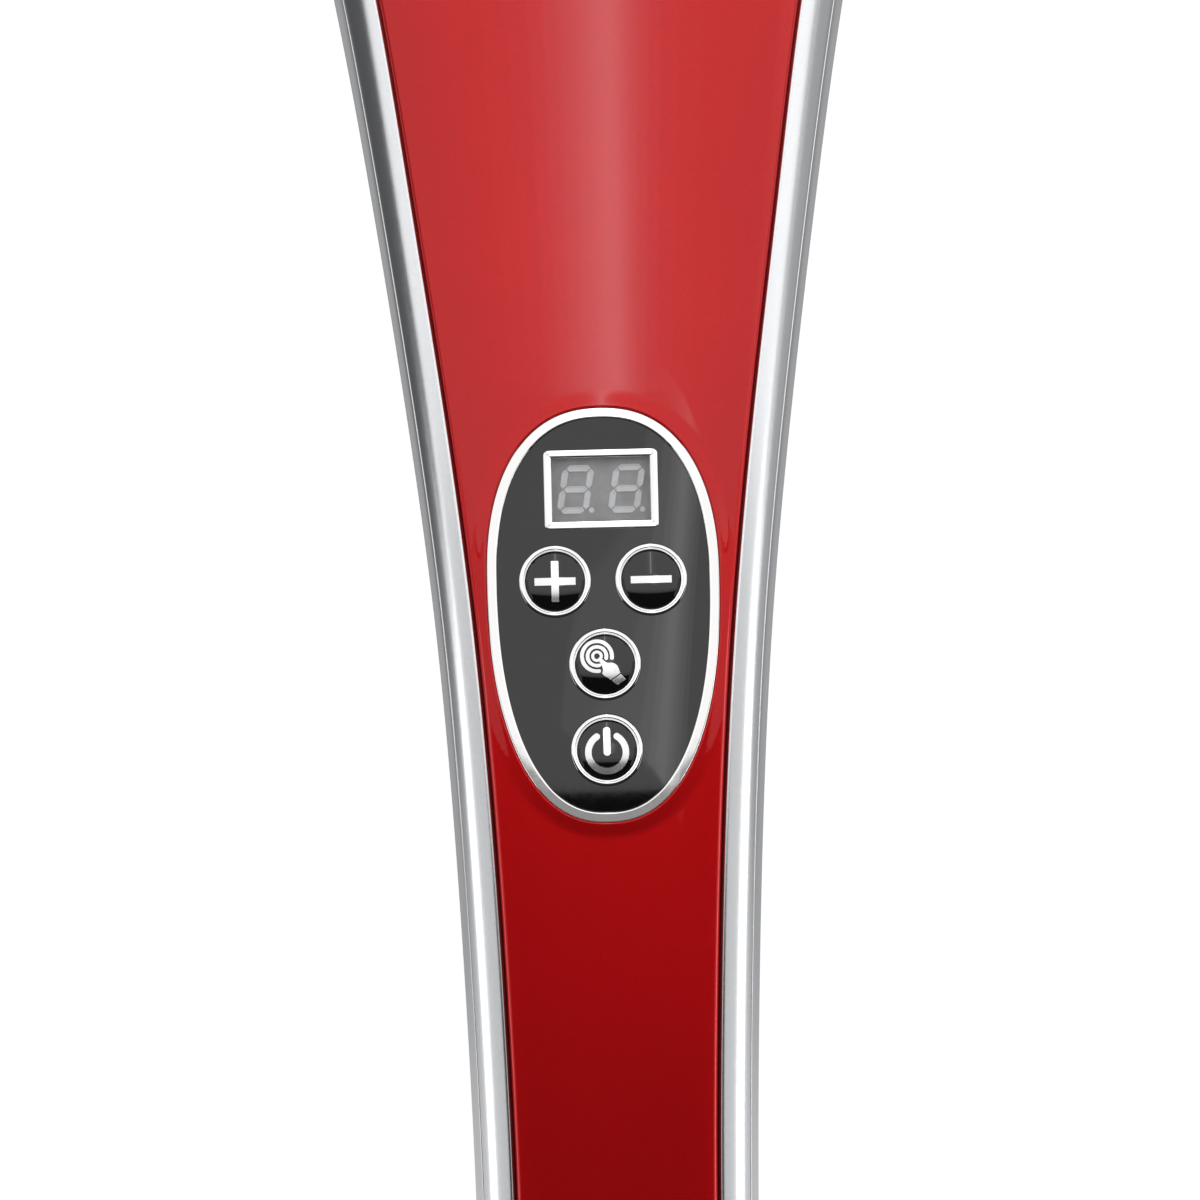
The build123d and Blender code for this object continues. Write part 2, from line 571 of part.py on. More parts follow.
# ------------------------------------------------------------ battery
cells = []
for k in range(2):
    z0 = 0.4 + k * (CELL_L + 0.4)
    cell = cyl(CELL_R, z0, z0 + CELL_L - 1.2) + cyl(3.0, z0 + CELL_L - 1.3, z0 + CELL_L)
    cells.append(BAT.location * cell)
nodes["battery_cells"] = cells
L_B = 0.4 + 2 * (CELL_L + 0.4)
tray = cyl(10.95, -1.4, L_B + 1.4) - cyl(CELL_R + 0.1, 0, L_B)
tray = tray & (Pos(0, -7.5 if (BAT.location * Pos(0, 1, 0)).position.Z > B0.Z else 7.5, L_B / 2) * Box(40, 15, L_B + 10))
nodes["battery_holder"] = BAT.location * tray

# ------------------------------------------------------------ charging inlet
jack = cyl_y(4.4, 0, JACK_Z, -174.9, -171.5) + slab(-5.5, 5.5, -172.0, -161.5, JACK_Z - 5.4, JACK_Z + 5.4)
jack = jack - cyl_y(JACK_BORE_R, 0, JACK_Z, -176, -165.3)
nodes["dc_jack"] = jack
nodes["jack_pin"] = cyl_y(JACK_PIN_R, 0, JACK_Z, -173.9, -165.3)

# ------------------------------------------------------------ motor
can = cyl_y(MOTOR_R, 0, MOTOR_Z, MOTOR_REAR, MOTOR_FRONT) - cyl_y(16.6, 0, MOTOR_Z, MOTOR_REAR - 1, MOTOR_FRONT - 2)
can = can + cyl_y(6.4, 0, MOTOR_Z, MOTOR_FRONT - 1, MOTOR_FRONT + 2.6) - cyl_y(SHAFT_R + 0.06, 0, MOTOR_Z, 100, 140)
for x in (-12.5, 12.5):
    can = can - cyl_y(1.5, x, MOTOR_Z, MOTOR_FRONT - 5, MOTOR_FRONT + 1)
nodes["motor_can"] = can
end_cap = cyl_y(MOTOR_R, 0, MOTOR_Z, 73, MOTOR_REAR) + cyl_y(6.4, 0, MOTOR_Z, 70.5, 74) \
    - cyl_y(SHAFT_R + 0.06, 0, MOTOR_Z, 60, 80)
nodes["motor_end_cap"] = end_cap
magnet_ring = cyl_y(16.6, 0, MOTOR_Z, 84, 118) - cyl_y(13.3, 0, MOTOR_Z, 80, 120)
nodes["motor_magnets"] = [magnet_ring & slab(-20, -6, 80, 120, 40, 90), magnet_ring & slab(6, 20, 80, 120, 40, 90)]
arm = cyl_y(12.7, 0, MOTOR_Z, 86, 116)
for k in range(5):
    a = math.radians(72 * k)
    arm = arm - cyl_y(2.3, 10.6 * math.sin(a), MOTOR_Z + 10.6 * math.cos(a), 80, 120)
arm = arm + cyl_y(4.5, 0, MOTOR_Z, 78.5, 86.2) - cyl_y(SHAFT_R, 0, MOTOR_Z, 60, 130)
nodes["motor_armature"] = arm
nodes["motor_shaft"] = cyl_y(SHAFT_R, 0, MOTOR_Z, 69.5, 147)
nodes["motor_terminals"] = [slab(x - 1.2, x + 1.2, 68.5, 73, MOTOR_Z - 0.25, MOTOR_Z + 0.25) for x in (-10, 10)]
nodes["motor_damper"] = cyl_y(MOTOR_R + 1.6, 0, MOTOR_Z, 80, 88) - cyl_y(MOTOR_R, 0, MOTOR_Z, 79, 89)
nodes["motor_screws"] = [cyl_y(1.5, x, MOTOR_Z, 122.2, 127.5) + cyl_y(2.7, x, MOTOR_Z, 127, 128.8)
                         - cyl_y(1.2, x, MOTOR_Z, 128, 130) for x in (-12.5, 12.5)]

# ------------------------------------------------------------ eccentric drive
CAM_Z = MOTOR_Z + CAM_E
weight = cyl_y(11.5, 0, MOTOR_Z, 130, 136) & slab(-20, 20, 125, 140, 30, MOTOR_Z - 0.5)
cam = weight + cyl_y(6.6, 0, MOTOR_Z, 130, 136) + cyl_y(6.2, 0, CAM_Z, 135.5, 139.5) \
    + cyl_y(BEARING_BORE_R, 0, CAM_Z, 139, 145.2)
cam = cam - cyl_y(SHAFT_R, 0, MOTOR_Z, 120, 150) \
    - (Pos(4.6, 133, MOTOR_Z) * Rot(0, 90, 0) * Cylinder(1.5, 4.6))
nodes["eccentric_cam"] = cam
nodes["cam_set_screw"] = Pos(4.35, 133, MOTOR_Z) * Rot(0, 90, 0) * (Cylinder(1.5, 3.4) - Pos(0, 0, 1.2) * Cylinder(0.75, 1.2))
b0, b1 = 139.5, 139.5 + BEARING_W
nodes["cam_bearing_inner"] = cyl_y(6.25, 0, CAM_Z, b0, b1) - cyl_y(BEARING_BORE_R, 0, CAM_Z, b0 - 1, b1 + 1)
nodes["cam_bearing_outer"] = cyl_y(BEARING_OUT_R, 0, CAM_Z, b0, b1) - cyl_y(8.25, 0, CAM_Z, b0 - 1, b1 + 1)
nodes["cam_bearing_balls"] = [Pos(7.28 * math.cos(2 * math.pi * k / 8), (b0 + b1) / 2,
                                  CAM_Z + 7.28 * math.sin(2 * math.pi * k / 8)) * Sphere(0.97) for k in range(8)]

# ------------------------------------------------------------ chassis
ch = slab(-11, 11, 124, 206, CHASSIS_Z, CHASSIS_Z + 3.5)
ch = ch + slab(-19, 19, MOTOR_FRONT, MOTOR_FRONT + 3, CHASSIS_Z + 1.5, 79) + slab(-8, 8, 130, 136, CHASSIS_Z + 3, 47.5) \
    + slab(-8, 8, 198, 204, CHASSIS_Z + 3, 47.5)
ch = ch - cyl_y(6.4, 0, MOTOR_Z, 120, 128) - cyl_y(PIVOT_PIN_R, 0, PIVOT_Z, 128, 206)
for x in (-12.5, 12.5):
    ch = ch - cyl_y(1.5, x, MOTOR_Z, 120, 130)
for x, s in chassis_posts:
    ch = ch - Pos(x, s, 0) * cyl(1.22, 20, 40)
ch = ch - slab(-30, -13, 123, 128, 66, 90) - slab(13, 30, 123, 128, 66, 90)
nodes["drive_chassis"] = ch
nodes["chassis_screws"] = [Pos(x, s, 0) * (cyl(1.2, 27.2, CHASSIS_Z + 4) + cyl(2.4, CHASSIS_Z + 3.5, CHASSIS_Z + 5.1)
                                           - cyl(0.9, CHASSIS_Z + 4.3, 40)) for x, s in chassis_posts]
nodes["pivot_pin"] = cyl_y(PIVOT_PIN_R, 0, PIVOT_Z, 128.2, 206.0)
nodes["pivot_clips"] = [cyl_y(5.0, 0, PIVOT_Z, a, a + 0.8) - cyl_y(PIVOT_PIN_R, 0, PIVOT_Z, a - 1, a + 2)
                        for a in (129.2, 204.0)]

# ------------------------------------------------------------ rocker and massage heads
HUB_R, HUB0, HUB1 = 7.0, 136.6, 197.4
TINE_IN = BEARING_OUT_R + 2 * CAM_E + 0.35
rocker = cyl_y(HUB_R, 0, PIVOT_Z, HUB0, HUB1)
rocker = rocker + slab(-TINE_IN - 5, TINE_IN + 5, 139.2, 144.8, PIVOT_Z - 1, 49.0)
for sx in (-1, 1):
    x0, x1 = sorted((sx * TINE_IN, sx * (TINE_IN + 5)))
    rocker = rocker + slab(x0, x1, 139.2, 144.8, 48.0, 73.0)
rocker = rocker + slab(-36, 36, NODE_STATION - 9.5, NODE_STATION + 9.5, 38.0, 46.0)
rocker = rocker + slab(-3, 3, 146.5, 196, 44, 51.5) + slab(-33, 33, NODE_STATION - 1.6, NODE_STATION + 1.6, 45, 50.5)
rocker = rocker - cyl_y(5.0, 0, PIVOT_Z, HUB0 - 1, HUB0 + 10) - cyl_y(5.0, 0, PIVOT_Z, HUB1 - 10, HUB1 + 1) \
    - cyl_y(PIVOT_PIN_R + 0.6, 0, PIVOT_Z, 130, 200)
for sx in (-1, 1):
    rocker = rocker - Pos(sx * NODE_X, NODE_STATION, 0) * cyl(2.5, 30, 60) \
        - Pos(sx * NODE_X, NODE_STATION, 0) * cyl(5.0, 46.0, 60)
nodes["rocker_arm"] = rocker
nodes["pivot_bushes"] = [cyl_y(5.0, 0, PIVOT_Z, a, b) - cyl_y(PIVOT_PIN_R + BUSH_CLEAR, 0, PIVOT_Z, a - 1, b + 1)
                         for a, b in ((HUB0, HUB0 + 10), (HUB1 - 10, HUB1))]
screws = []
for sx, side in ((-1, "left"), (1, "right")):
    px = sx * NODE_X
    core = cyl(STEM_R, 13, 38.0) + cyl(20.6, 5.6, 13.6) - cyl(2.5, 22, 60)
    nodes[side + "_node_core"] = Pos(px, NODE_STATION, 0) * core
    pad = Pos(0, 0, 8.2) * Cylinder(NODE_R, 16.4)
    low = pad.edges().filter_by(GeomType.CIRCLE).sort_by(Axis.Z)[0]
    pad = fillet([low], 7.5)
    hi = pad.edges().filter_by(GeomType.CIRCLE).sort_by(Axis.Z)[-1]
    pad = fillet([hi], 2.4)
    pad = pad - cyl(20.6, 5.6, 13.6) - cyl(12.5, 13, 20)
    nodes[side + "_node_pad"] = Pos(px, NODE_STATION, 0) * pad
    screws.append(Pos(px, NODE_STATION, 0) * (cyl(2.45, 24, 47) + cyl(4.4, 46.0, 49.0) - cyl(2.0, 47.5, 52)))
nodes["node_screws"] = screws
nodes["node_collars"] = [Pos(sx * NODE_X, NODE_STATION, 0) * (cyl(15.5, 22.8, 32.5) - cyl(12.6, 10, 50)) for sx in (-1, 1)]
nodes["dust_seals"] = [Pos(sx * NODE_X, NODE_STATION, 0) * (cyl(12.6, 24.0, 29.0) - cyl(11.2, 10, 50)
                                                            - (cyl(12.0, 25.5, 27.5) - cyl(11.2, 20, 30))) for sx in (-1, 1)]

# ------------------------------------------------------------ leads
nodes["motor_leads"] = [
    tube_path([(-8.0, 26.0, 56.1), (-8.0, 26.0, 60.0), (-9.0, 46.0, 61.0), (-10.0, 60.0, 62.0), (-10.0, 68.5, 62.0)], 0.8, 2.2),
    tube_path([(2.0, 42.5, 57.6), (2.0, 42.5, 61.0), (8.0, 52.0, 62.0), (10.0, 62.0, 62.0), (10.0, 68.5, 62.0)], 0.8, 1.8)]
FRONT = BAT.location * Pos(0, 0, L_B)
fy, fz = FRONT.position.Y, FRONT.position.Z
nodes["battery_leads"] = [
    tube_path([(x, fy + 0.3, fz + 3.0), (x, fy + 5.0, fz + 3.0), (x, fy + 10.0, fz + 1.2), (x, fy + 18.5, fz - 0.6),
               (x, fy + 18.5, PCB_TOP_Z + 0.02)], 0.8, 1.6) for x in (-5.0, 1.5)]

# ------------------------------------------------------------ export
os.makedirs("parts", exist_ok=True)
count = 0
for name, shape in nodes.items():
    items = shape if isinstance(shape, list) else [shape]
    solids = []
    for it in items:
        solids += [q for q in it.solids() if q.volume > 1e-4]
    solids = [Pos(0, -Y_SHIFT, 0) * q for q in solids]
    out = solids[0] if len(solids) == 1 else Compound(children=[Solid(q.wrapped) for q in solids])
    out.label = name
    export_step(out, "parts/" + name + ".step")
    count += 1
zmin = min(section(-160 - 0.1 * k)[2] for k in range(151))
print("nodes", count, "tail lowest", round(zmin, 3), "panel tilt", round(math.degrees(TILT), 3))
print("axis", [round(v, 5) for v in (NORMAL.X, NORMAL.Y, NORMAL.Z)])
for name, (x, s) in BUTTONS.items():
    p = at(x, s).position
    print("button", name, round(p.X, 3), round(p.Y - Y_SHIFT, 3), round(p.Z, 3), "lift", round(lift(x, s), 3))
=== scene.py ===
import json
import math

import bmesh
import bpy
import numpy as np
from mathutils import Matrix, Vector
from mathutils.geometry import delaunay_2d_cdt

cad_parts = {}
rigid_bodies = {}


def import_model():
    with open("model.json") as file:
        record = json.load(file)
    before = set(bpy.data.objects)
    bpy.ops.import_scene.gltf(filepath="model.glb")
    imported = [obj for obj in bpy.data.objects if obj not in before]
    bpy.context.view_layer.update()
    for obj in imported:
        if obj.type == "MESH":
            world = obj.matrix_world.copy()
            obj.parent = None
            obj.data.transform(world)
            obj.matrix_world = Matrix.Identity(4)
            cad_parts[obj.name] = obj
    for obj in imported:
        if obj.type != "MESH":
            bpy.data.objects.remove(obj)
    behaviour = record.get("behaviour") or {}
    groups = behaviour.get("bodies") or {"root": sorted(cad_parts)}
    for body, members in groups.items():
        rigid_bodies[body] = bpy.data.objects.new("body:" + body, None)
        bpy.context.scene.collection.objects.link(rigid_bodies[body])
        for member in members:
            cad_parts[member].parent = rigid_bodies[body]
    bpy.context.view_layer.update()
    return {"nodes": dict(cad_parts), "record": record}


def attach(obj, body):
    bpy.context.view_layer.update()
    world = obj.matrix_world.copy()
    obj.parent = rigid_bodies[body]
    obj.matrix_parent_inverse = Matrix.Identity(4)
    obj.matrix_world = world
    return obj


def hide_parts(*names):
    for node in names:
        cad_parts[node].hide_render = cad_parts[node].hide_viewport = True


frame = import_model()
MM = 0.001
NODES = frame["nodes"]

# ------------------------------------------------------------------ skin laws (mm, station s)
Y_SHIFT = 25.0
HEAD_S, HEAD_W, NOSE_A = 175.0, 52.5, 50.0
TOP_SHARE, SEAM_INSET, GAP = 0.42, 1.4, 0.38
EGG_S, EGG_W, EGG_UP, EGG_DOWN, EGG_N, EGG_RING = 3.0, 17.9, 26.6, 37.2, 2.32, 1.55
S_MID = EGG_S + (EGG_UP - EGG_DOWN) / 2
BUTTONS = {"plus": (-7.4, 3.0), "minus": (7.4, 3.0), "mode": (0.0, -9.9), "power": (0.0, -23.1)}
DISPLAY_S = 17.1


def spline_law(points, slope0=None, slope1=None):
    xs = np.array([p[0] for p in points], float)
    ys = np.array([p[1] for p in points], float)
    n = len(xs)
    h = np.diff(xs)
    a = np.zeros((n, n))
    d = np.zeros(n)
    a[0, 0] = a[-1, -1] = 1.0
    if slope0 is not None:
        a[0, 0], a[0, 1] = 2 * h[0], h[0]
        d[0] = 6 * ((ys[1] - ys[0]) / h[0] - slope0)
    if slope1 is not None:
        a[-1, -2], a[-1, -1] = h[-1], 2 * h[-1]
        d[-1] = 6 * (slope1 - (ys[-1] - ys[-2]) / h[-1])
    for i in range(1, n - 1):
        a[i, i - 1], a[i, i], a[i, i + 1] = h[i - 1], 2 * (h[i - 1] + h[i]), h[i]
        d[i] = 6 * ((ys[i + 1] - ys[i]) / h[i] - (ys[i] - ys[i - 1]) / h[i - 1])
    m = np.linalg.solve(a, d)

    def value(x):
        x = np.clip(np.asarray(x, float), xs[0], xs[-1])
        i = np.clip(np.searchsorted(xs, x, side="right") - 1, 0, n - 2)
        t, u, hi = x - xs[i], xs[i + 1] - x, h[i]
        return (m[i] * u ** 3 + m[i + 1] * t ** 3) / (6 * hi) \
            + (ys[i] / hi - m[i] * hi / 6) * u + (ys[i + 1] / hi - m[i + 1] * hi / 6) * t
    return value


outline_w = spline_law([(-160, 23.3), (-140, 22.5), (-115, 22.0), (-92, 22.1), (-61.5, 22.87),
                        (-30.8, 24.25), (0, 26.5), (30.8, 30.05), (61.5, 34.35), (92.3, 39.25),
                        (120, 44.4), (145, 48.9), (160, 51.2), (175, HEAD_W)], -0.03, 0.0)
panel_w = spline_law([(-155, 16.75), (-135, 16.1), (-115, 15.7), (-92, 15.75), (-61.5, 16.5),
                      (-30.8, 17.9), (0, 20.25), (30.8, 23.8), (61.5, 28.05), (92.3, 32.55),
                      (120, 37.6), (145, 42.1), (160, 44.4), (175, 45.7)], -0.03, 0.0)
belly_z = spline_law([(-175, -5.0), (-160, 1.9), (-140, 10.6), (-100, 22.8), (-60, 32.0),
                      (-20, 38.6), (20, 41.3), (50, 40.2), (75, 36.6), (100, 30.2),
                      (115, 26.7), (128, 25.2), (145, 25.0), (175, 25.0), (225, 25.0)])


def back_z(s):
    return 86.8 - (s - 92.0) ** 2 / 1400.0


def smoothstep(x, x0, x1):
    t = np.clip((x - x0) / (x1 - x0), 0, 1)
    return t * t * (3 - 2 * t)


def section(s):
    s = np.asarray(s, float)
    w = outline_w(s)
    zt, zb = back_z(s), belly_z(s)
    tail = np.clip((-s - 160) / 15.0, 0, 1)
    d = np.sqrt(np.maximum(0, 1 - tail ** 2))
    on = s < -160
    w = np.where(on, 14.0 + (outline_w(-160.0) - 14.0) * d, w)
    zt = np.where(on, zt - 8.5 * (1 - d), zt)
    zb = np.where(on, zb + 10.0 * (1 - d), zb)
    q = np.clip((s - HEAD_S) / NOSE_A, 0, 1)
    w = np.where(s > HEAD_S, HEAD_W * np.sqrt(np.maximum(0, 1 - q ** 2)), w)
    q = np.clip((s - 188) / (HEAD_S + NOSE_A - 188), 0, 1)
    zt = np.where(s > 188, 50 + (zt - 50) * np.maximum(0, 1 - q ** 2.3) ** (1 / 2.3), zt)
    q = np.clip((s - 196) / (HEAD_S + NOSE_A - 196), 0, 1)
    zb = np.where(s > 196, 50 - (50 - zb) * np.maximum(0, 1 - q ** 2.2) ** (1 / 2.2), zb)
    nb = 2.6 + 2.4 * smoothstep(s, 40, 130)
    return w, zt, zb, nb


def skin_top(x, s):
    w, zt, zb, _ = section(s)
    ht = TOP_SHARE * (zt - zb)
    r = np.clip(np.abs(x) / np.maximum(w, 1e-6), 0, 1)
    return zt - ht + ht * np.maximum(0.0, 1 - r ** 4) ** 0.25


def seam_of(s):
    """Height of the casing seam at a station."""
    def raw(q):
        w, zt, zb, _ = section(q)
        ht = TOP_SHARE * (zt - zb)
        return zt - ht + ht * np.maximum(0, 1 - ((w - SEAM_INSET) / w) ** 4) ** 0.25
    s = np.asarray(s, float)
    z = raw(np.clip(s, -164, 211))
    z = np.where(s > 211, raw(211.0) - 0.32 * (s - 211) * (1 - np.clip(s - 211, 0, 14) / 40), z)
    z = np.where(s < -164, raw(-164.0) - 0.42 * (-164 - s) - 0.018 * (-164 - s) ** 2, z)
    return z


def seam_x(s):
    """Plan half width of the seam at a station."""
    w, zt, zb, _ = section(s)
    ht = TOP_SHARE * (zt - zb)
    u = np.clip((seam_of(s) - (zt - ht)) / ht, 0, 1)
    return w * np.maximum(0, 1 - u ** 4) ** 0.25


def last_station(lo, hi, inside):
    """Bisects for the station where the seam meets the middle line."""
    for _ in range(60):
        mid = (lo + hi) / 2
        w, zt, zb, _ = section(mid)
        if (zt > seam_of(mid)) == inside:
            lo = mid
        else:
            hi = mid
    return (lo + hi) / 2


SEAM_NOSE = last_station(211.0, HEAD_S + NOSE_A, True)
SEAM_TAIL = last_station(-164.0, -174.9999, True)


# ------------------------------------------------------------------ mesh helpers
def world(pts):
    """Station coordinates in mm to metres in the row frame."""
    p = np.array(pts, float)
    p[:, 1] -= Y_SHIFT
    return p * MM


def new_mesh(name, verts, faces, body="housing", smooth=40.0, normals=None, mm=True):
    v = world(verts) if mm else np.asarray(verts, float)
    me = bpy.data.meshes.new(name)
    me.from_pydata([tuple(map(float, q)) for q in v], [], [tuple(map(int, f)) for f in faces])
    me.validate()
    me.polygons.foreach_set("use_smooth", [True] * len(me.polygons))
    ob = bpy.data.objects.new(name, me)
    bpy.context.scene.collection.objects.link(ob)
    if normals is not None and len(me.vertices) == len(normals):
        me.normals_split_custom_set_from_vertices([tuple(map(float, q)) for q in normals])
    elif smooth < 180:
        me.set_sharp_from_angle(angle=math.radians(smooth))
    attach(ob, body)
    return ob


def grid_faces(nu, nv, close_u=False, close_v=False, flip=False, base=0):
    f = []
    for i in range(nu if close_u else nu - 1):
        for j in range(nv if close_v else nv - 1):
            a = base + i * nv + j
            b = base + ((i + 1) % nu) * nv + j
            c = base + ((i + 1) % nu) * nv + (j + 1) % nv
            d = base + i * nv + (j + 1) % nv
            f.append((a, d, c, b) if flip else (a, b, c, d))
    return f


def loop_normals(p):
    """Unit normals of a closed plan loop, to the left of its direction."""
    t = np.roll(p, -1, axis=0) - np.roll(p, 1, axis=0)
    t /= np.linalg.norm(t, axis=1)[:, None]
    return np.stack([-t[:, 1], t[:, 0]], axis=1)


def resample(p, step):
    q = np.vstack([p, p[:1]])
    seg = np.linalg.norm(np.diff(q, axis=0), axis=1)
    acc = np.concatenate([[0], np.cumsum(seg)])
    n = max(12, int(round(acc[-1] / step)))
    t = np.linspace(0, acc[-1], n, endpoint=False)
    return np.stack([np.interp(t, acc, q[:, 0]), np.interp(t, acc, q[:, 1])], axis=1)


def inside(pts, loop):
    x, y = pts[:, 0], pts[:, 1]
    res = np.zeros(len(pts), bool)
    x0, y0 = loop[:, 0], loop[:, 1]
    x1, y1 = np.roll(x0, -1), np.roll(y0, -1)
    for a, b, c, d in zip(x0, y0, x1, y1):
        if b == d:
            continue
        k = (y >= min(b, d)) & (y < max(b, d))
        res[k] ^= x[k] < a + (y[k] - b) * (c - a) / (d - b)
    return res


def plate(name, loops, spacing, zfun, radius, thick, to3d=None, body="housing", steps=5, hems=None):
    """A thin shell over a plan region with rounded rims: loops[0] is the outer rim, the others
    are holes. radius may be one number or one per loop."""
    radii = radius if isinstance(radius, (list, tuple)) else [radius] * len(loops)
    pts, nrm, drop, edges, rims = [], [], [], [], []
    guard = []
    for k, (lp, rad) in enumerate(zip(loops, radii)):
        area = 0.5 * np.sum(lp[:, 0] * np.roll(lp[:, 1], -1) - np.roll(lp[:, 0], -1) * lp[:, 1])
        if (area > 0) != (k == 0):
            lp = lp[::-1]
        n_in = loop_normals(lp)
        for i in range(steps + 1):
            phi = math.radians(90.0 * i / steps)
            d = rad * (1 - math.cos(phi))
            base = len(pts)
            ring = lp + n_in * d
            for q, m in zip(ring, n_in):
                pts.append((q[0], q[1]))
                nrm.append((-m[0] * math.cos(phi), -m[1] * math.cos(phi), math.sin(phi)))
                drop.append(rad * (1 - math.sin(phi)))
            cnt = len(ring)
            if i == 0:
                rims.append((base, cnt))
            if i in (0, steps):
                edges += [(base + j, base + (j + 1) % cnt) for j in range(cnt)]
        guard.append((lp, rad))
    outer = loops[0]
    gx = np.arange(outer[:, 0].min(), outer[:, 0].max(), spacing)
    gy = np.arange(outer[:, 1].min(), outer[:, 1].max(), spacing * 0.866)
    g = np.array([(x + (spacing / 2 if j % 2 else 0), y) for j, y in enumerate(gy) for x in gx])
    keep = inside(g, outer)
    g = g[keep]
    for k, (lp, rad) in enumerate(guard):
        if k:
            g = g[~inside(g, lp)]
        ok = np.ones(len(g), bool)
        for c0 in range(0, len(g), 4000):
            blk = g[c0:c0 + 4000]
            dd = np.full(len(blk), 1e9)
            for l0 in range(0, len(lp), 400):
                seg = lp[l0:l0 + 400]
                dd = np.minimum(dd, np.sqrt(((blk[:, None, :] - seg[None]) ** 2).sum(-1)).min(1))
            reach = max((hems or {}).get(k, [0.0]))
            ok[c0:c0 + 4000] = dd > max(rad, reach) + spacing * 0.5
        g = g[ok]
    for k, dists in (hems or {}).items():
        lp, rad = guard[k]
        n_in = loop_normals(lp)
        for i, d in enumerate(dists):
            q = (lp + n_in * d)[i % 2::2]
            ok = inside(q, outer)
            for k2, (lp2, rad2) in enumerate(guard):
                if k2 != k:
                    far = np.sqrt(((q[:, None, :] - lp2[None]) ** 2).sum(-1)).min(1)
                    ok &= far > rad2 + 0.35
            g = np.vstack([g, q[ok]])
    for q in g:
        pts.append((q[0], q[1]))
        nrm.append((0, 0, 1))
        drop.append(0.0)
    res = delaunay_2d_cdt([Vector(p) for p in pts], edges, [], 0, 1e-6)
    if len(res[0]) != len(pts):
        print(name, "cdt merged points", len(pts), len(res[0]))
    tri = np.array([tuple(t) for t in res[2] if len(t) == 3])
    v2 = np.array([tuple(v) for v in res[0]])
    src = [o[0] for o in res[3]]
    nrm = np.array([nrm[i] for i in src])
    drop = np.array([drop[i] for i in src])
    cen = v2[tri].mean(axis=1)
    ok = inside(cen, loops[0])
    for lp in loops[1:]:
        ok &= ~inside(cen, lp)
    tri = tri[ok]
    a = v2[tri[:, 1]] - v2[tri[:, 0]]
    b = v2[tri[:, 2]] - v2[tri[:, 0]]
    flip = (a[:, 0] * b[:, 1] - a[:, 1] * b[:, 0]) < 0
    tri[flip] = tri[flip][:, ::-1]
    z = zfun(v2[:, 0], v2[:, 1])
    h = 0.02
    gx = (zfun(v2[:, 0] + h, v2[:, 1]) - zfun(v2[:, 0] - h, v2[:, 1])) / (2 * h)
    gy = (zfun(v2[:, 0], v2[:, 1] + h) - zfun(v2[:, 0], v2[:, 1] - h)) / (2 * h)
    surf = np.stack([-gx, -gy, np.ones(len(gx))], axis=1)
    surf /= np.linalg.norm(surf, axis=1)[:, None]
    side = nrm.copy()
    side[:, 2] = 0
    nn = side + surf * nrm[:, 2][:, None]
    nn /= np.linalg.norm(nn, axis=1)[:, None]
    top = np.column_stack([v2, z - drop])
    index = {o: i for i, o in enumerate(src)}
    n0 = len(top)
    verts, normals = [tuple(t) for t in top], [tuple(t) for t in nn]
    faces = [tuple(t) for t in tri]
    under = np.column_stack([v2, z - thick])
    verts += [tuple(t) for t in under]
    normals += [tuple(-t) for t in surf]
    faces += [tuple(n0 + i for i in t[::-1]) for t in tri]
    for base, cnt in rims:
        ids = [index[base + j] for j in range(cnt)]
        up, lo = len(verts), len(verts) + cnt
        for i in ids:
            sn = side[i] / max(np.linalg.norm(side[i]), 1e-9)
            verts.append(tuple(top[i]))
            normals.append(tuple(sn))
        for i in ids:
            sn = side[i] / max(np.linalg.norm(side[i]), 1e-9)
            verts.append(tuple(under[i]))
            normals.append(tuple(sn))
        for j in range(cnt):
            j2 = (j + 1) % cnt
            faces.append((up + j, lo + j, lo + j2, up + j2))
    verts, normals = np.array(verts), np.array(normals)
    if to3d is not None:
        verts, normals = to3d(verts, normals)
    ob = new_mesh(name, verts, faces, body=body, normals=None, smooth=180)
    me = ob.data
    # set the analytic normals on every corner
    per_corner = [tuple(map(float, normals[l.vertex_index])) for l in me.loops]
    me.normals_split_custom_set(per_corner)
    return ob


# ------------------------------------------------------------------ panel frame
SLOPE = -2 * (S_MID - 92.0) / 1400.0
TILT = math.atan(SLOPE)
CT, ST = math.cos(TILT), math.sin(TILT)
ORIGIN = np.array([0.0, S_MID, float(back_z(S_MID))])
N_AX, V_AX = np.array([0.0, -ST, CT]), np.array([0.0, CT, ST])


def lift(u, v):
    """Height of the skin over the panel plane; u, v in mm in that plane."""
    u, v = np.asarray(u, float), np.asarray(v, float)
    h = np.zeros_like(v)
    for _ in range(4):
        s = S_MID + v * CT - h * ST
        z = skin_top(u, s)
        h = (s - S_MID) * (-ST) + (z - ORIGIN[2]) * CT
    return h


def panel3d(verts, normals=None):
    """Panel frame (u, v, height) to station coordinates."""
    verts = np.asarray(verts, float)
    p = ORIGIN + np.outer(verts[:, 1], V_AX) + np.outer(verts[:, 2], N_AX)
    p[:, 0] += verts[:, 0]
    if normals is None:
        return p
    normals = np.asarray(normals, float)
    q = np.outer(normals[:, 1], V_AX) + np.outer(normals[:, 2], N_AX)
    q[:, 0] += normals[:, 0]
    return p, q


def egg(off=0.0, n=420):
    a = np.linspace(0, 2 * math.pi, n, endpoint=False)
    c, sn = np.cos(a), np.sin(a)
    up = np.where(sn >= 0, EGG_UP, EGG_DOWN) + off
    r = (np.abs(c) ** EGG_N + np.abs(sn) ** EGG_N) ** (-1 / EGG_N)
    return np.stack([(EGG_W + off) * r * c, EGG_S - S_MID + up * r * sn], axis=1)


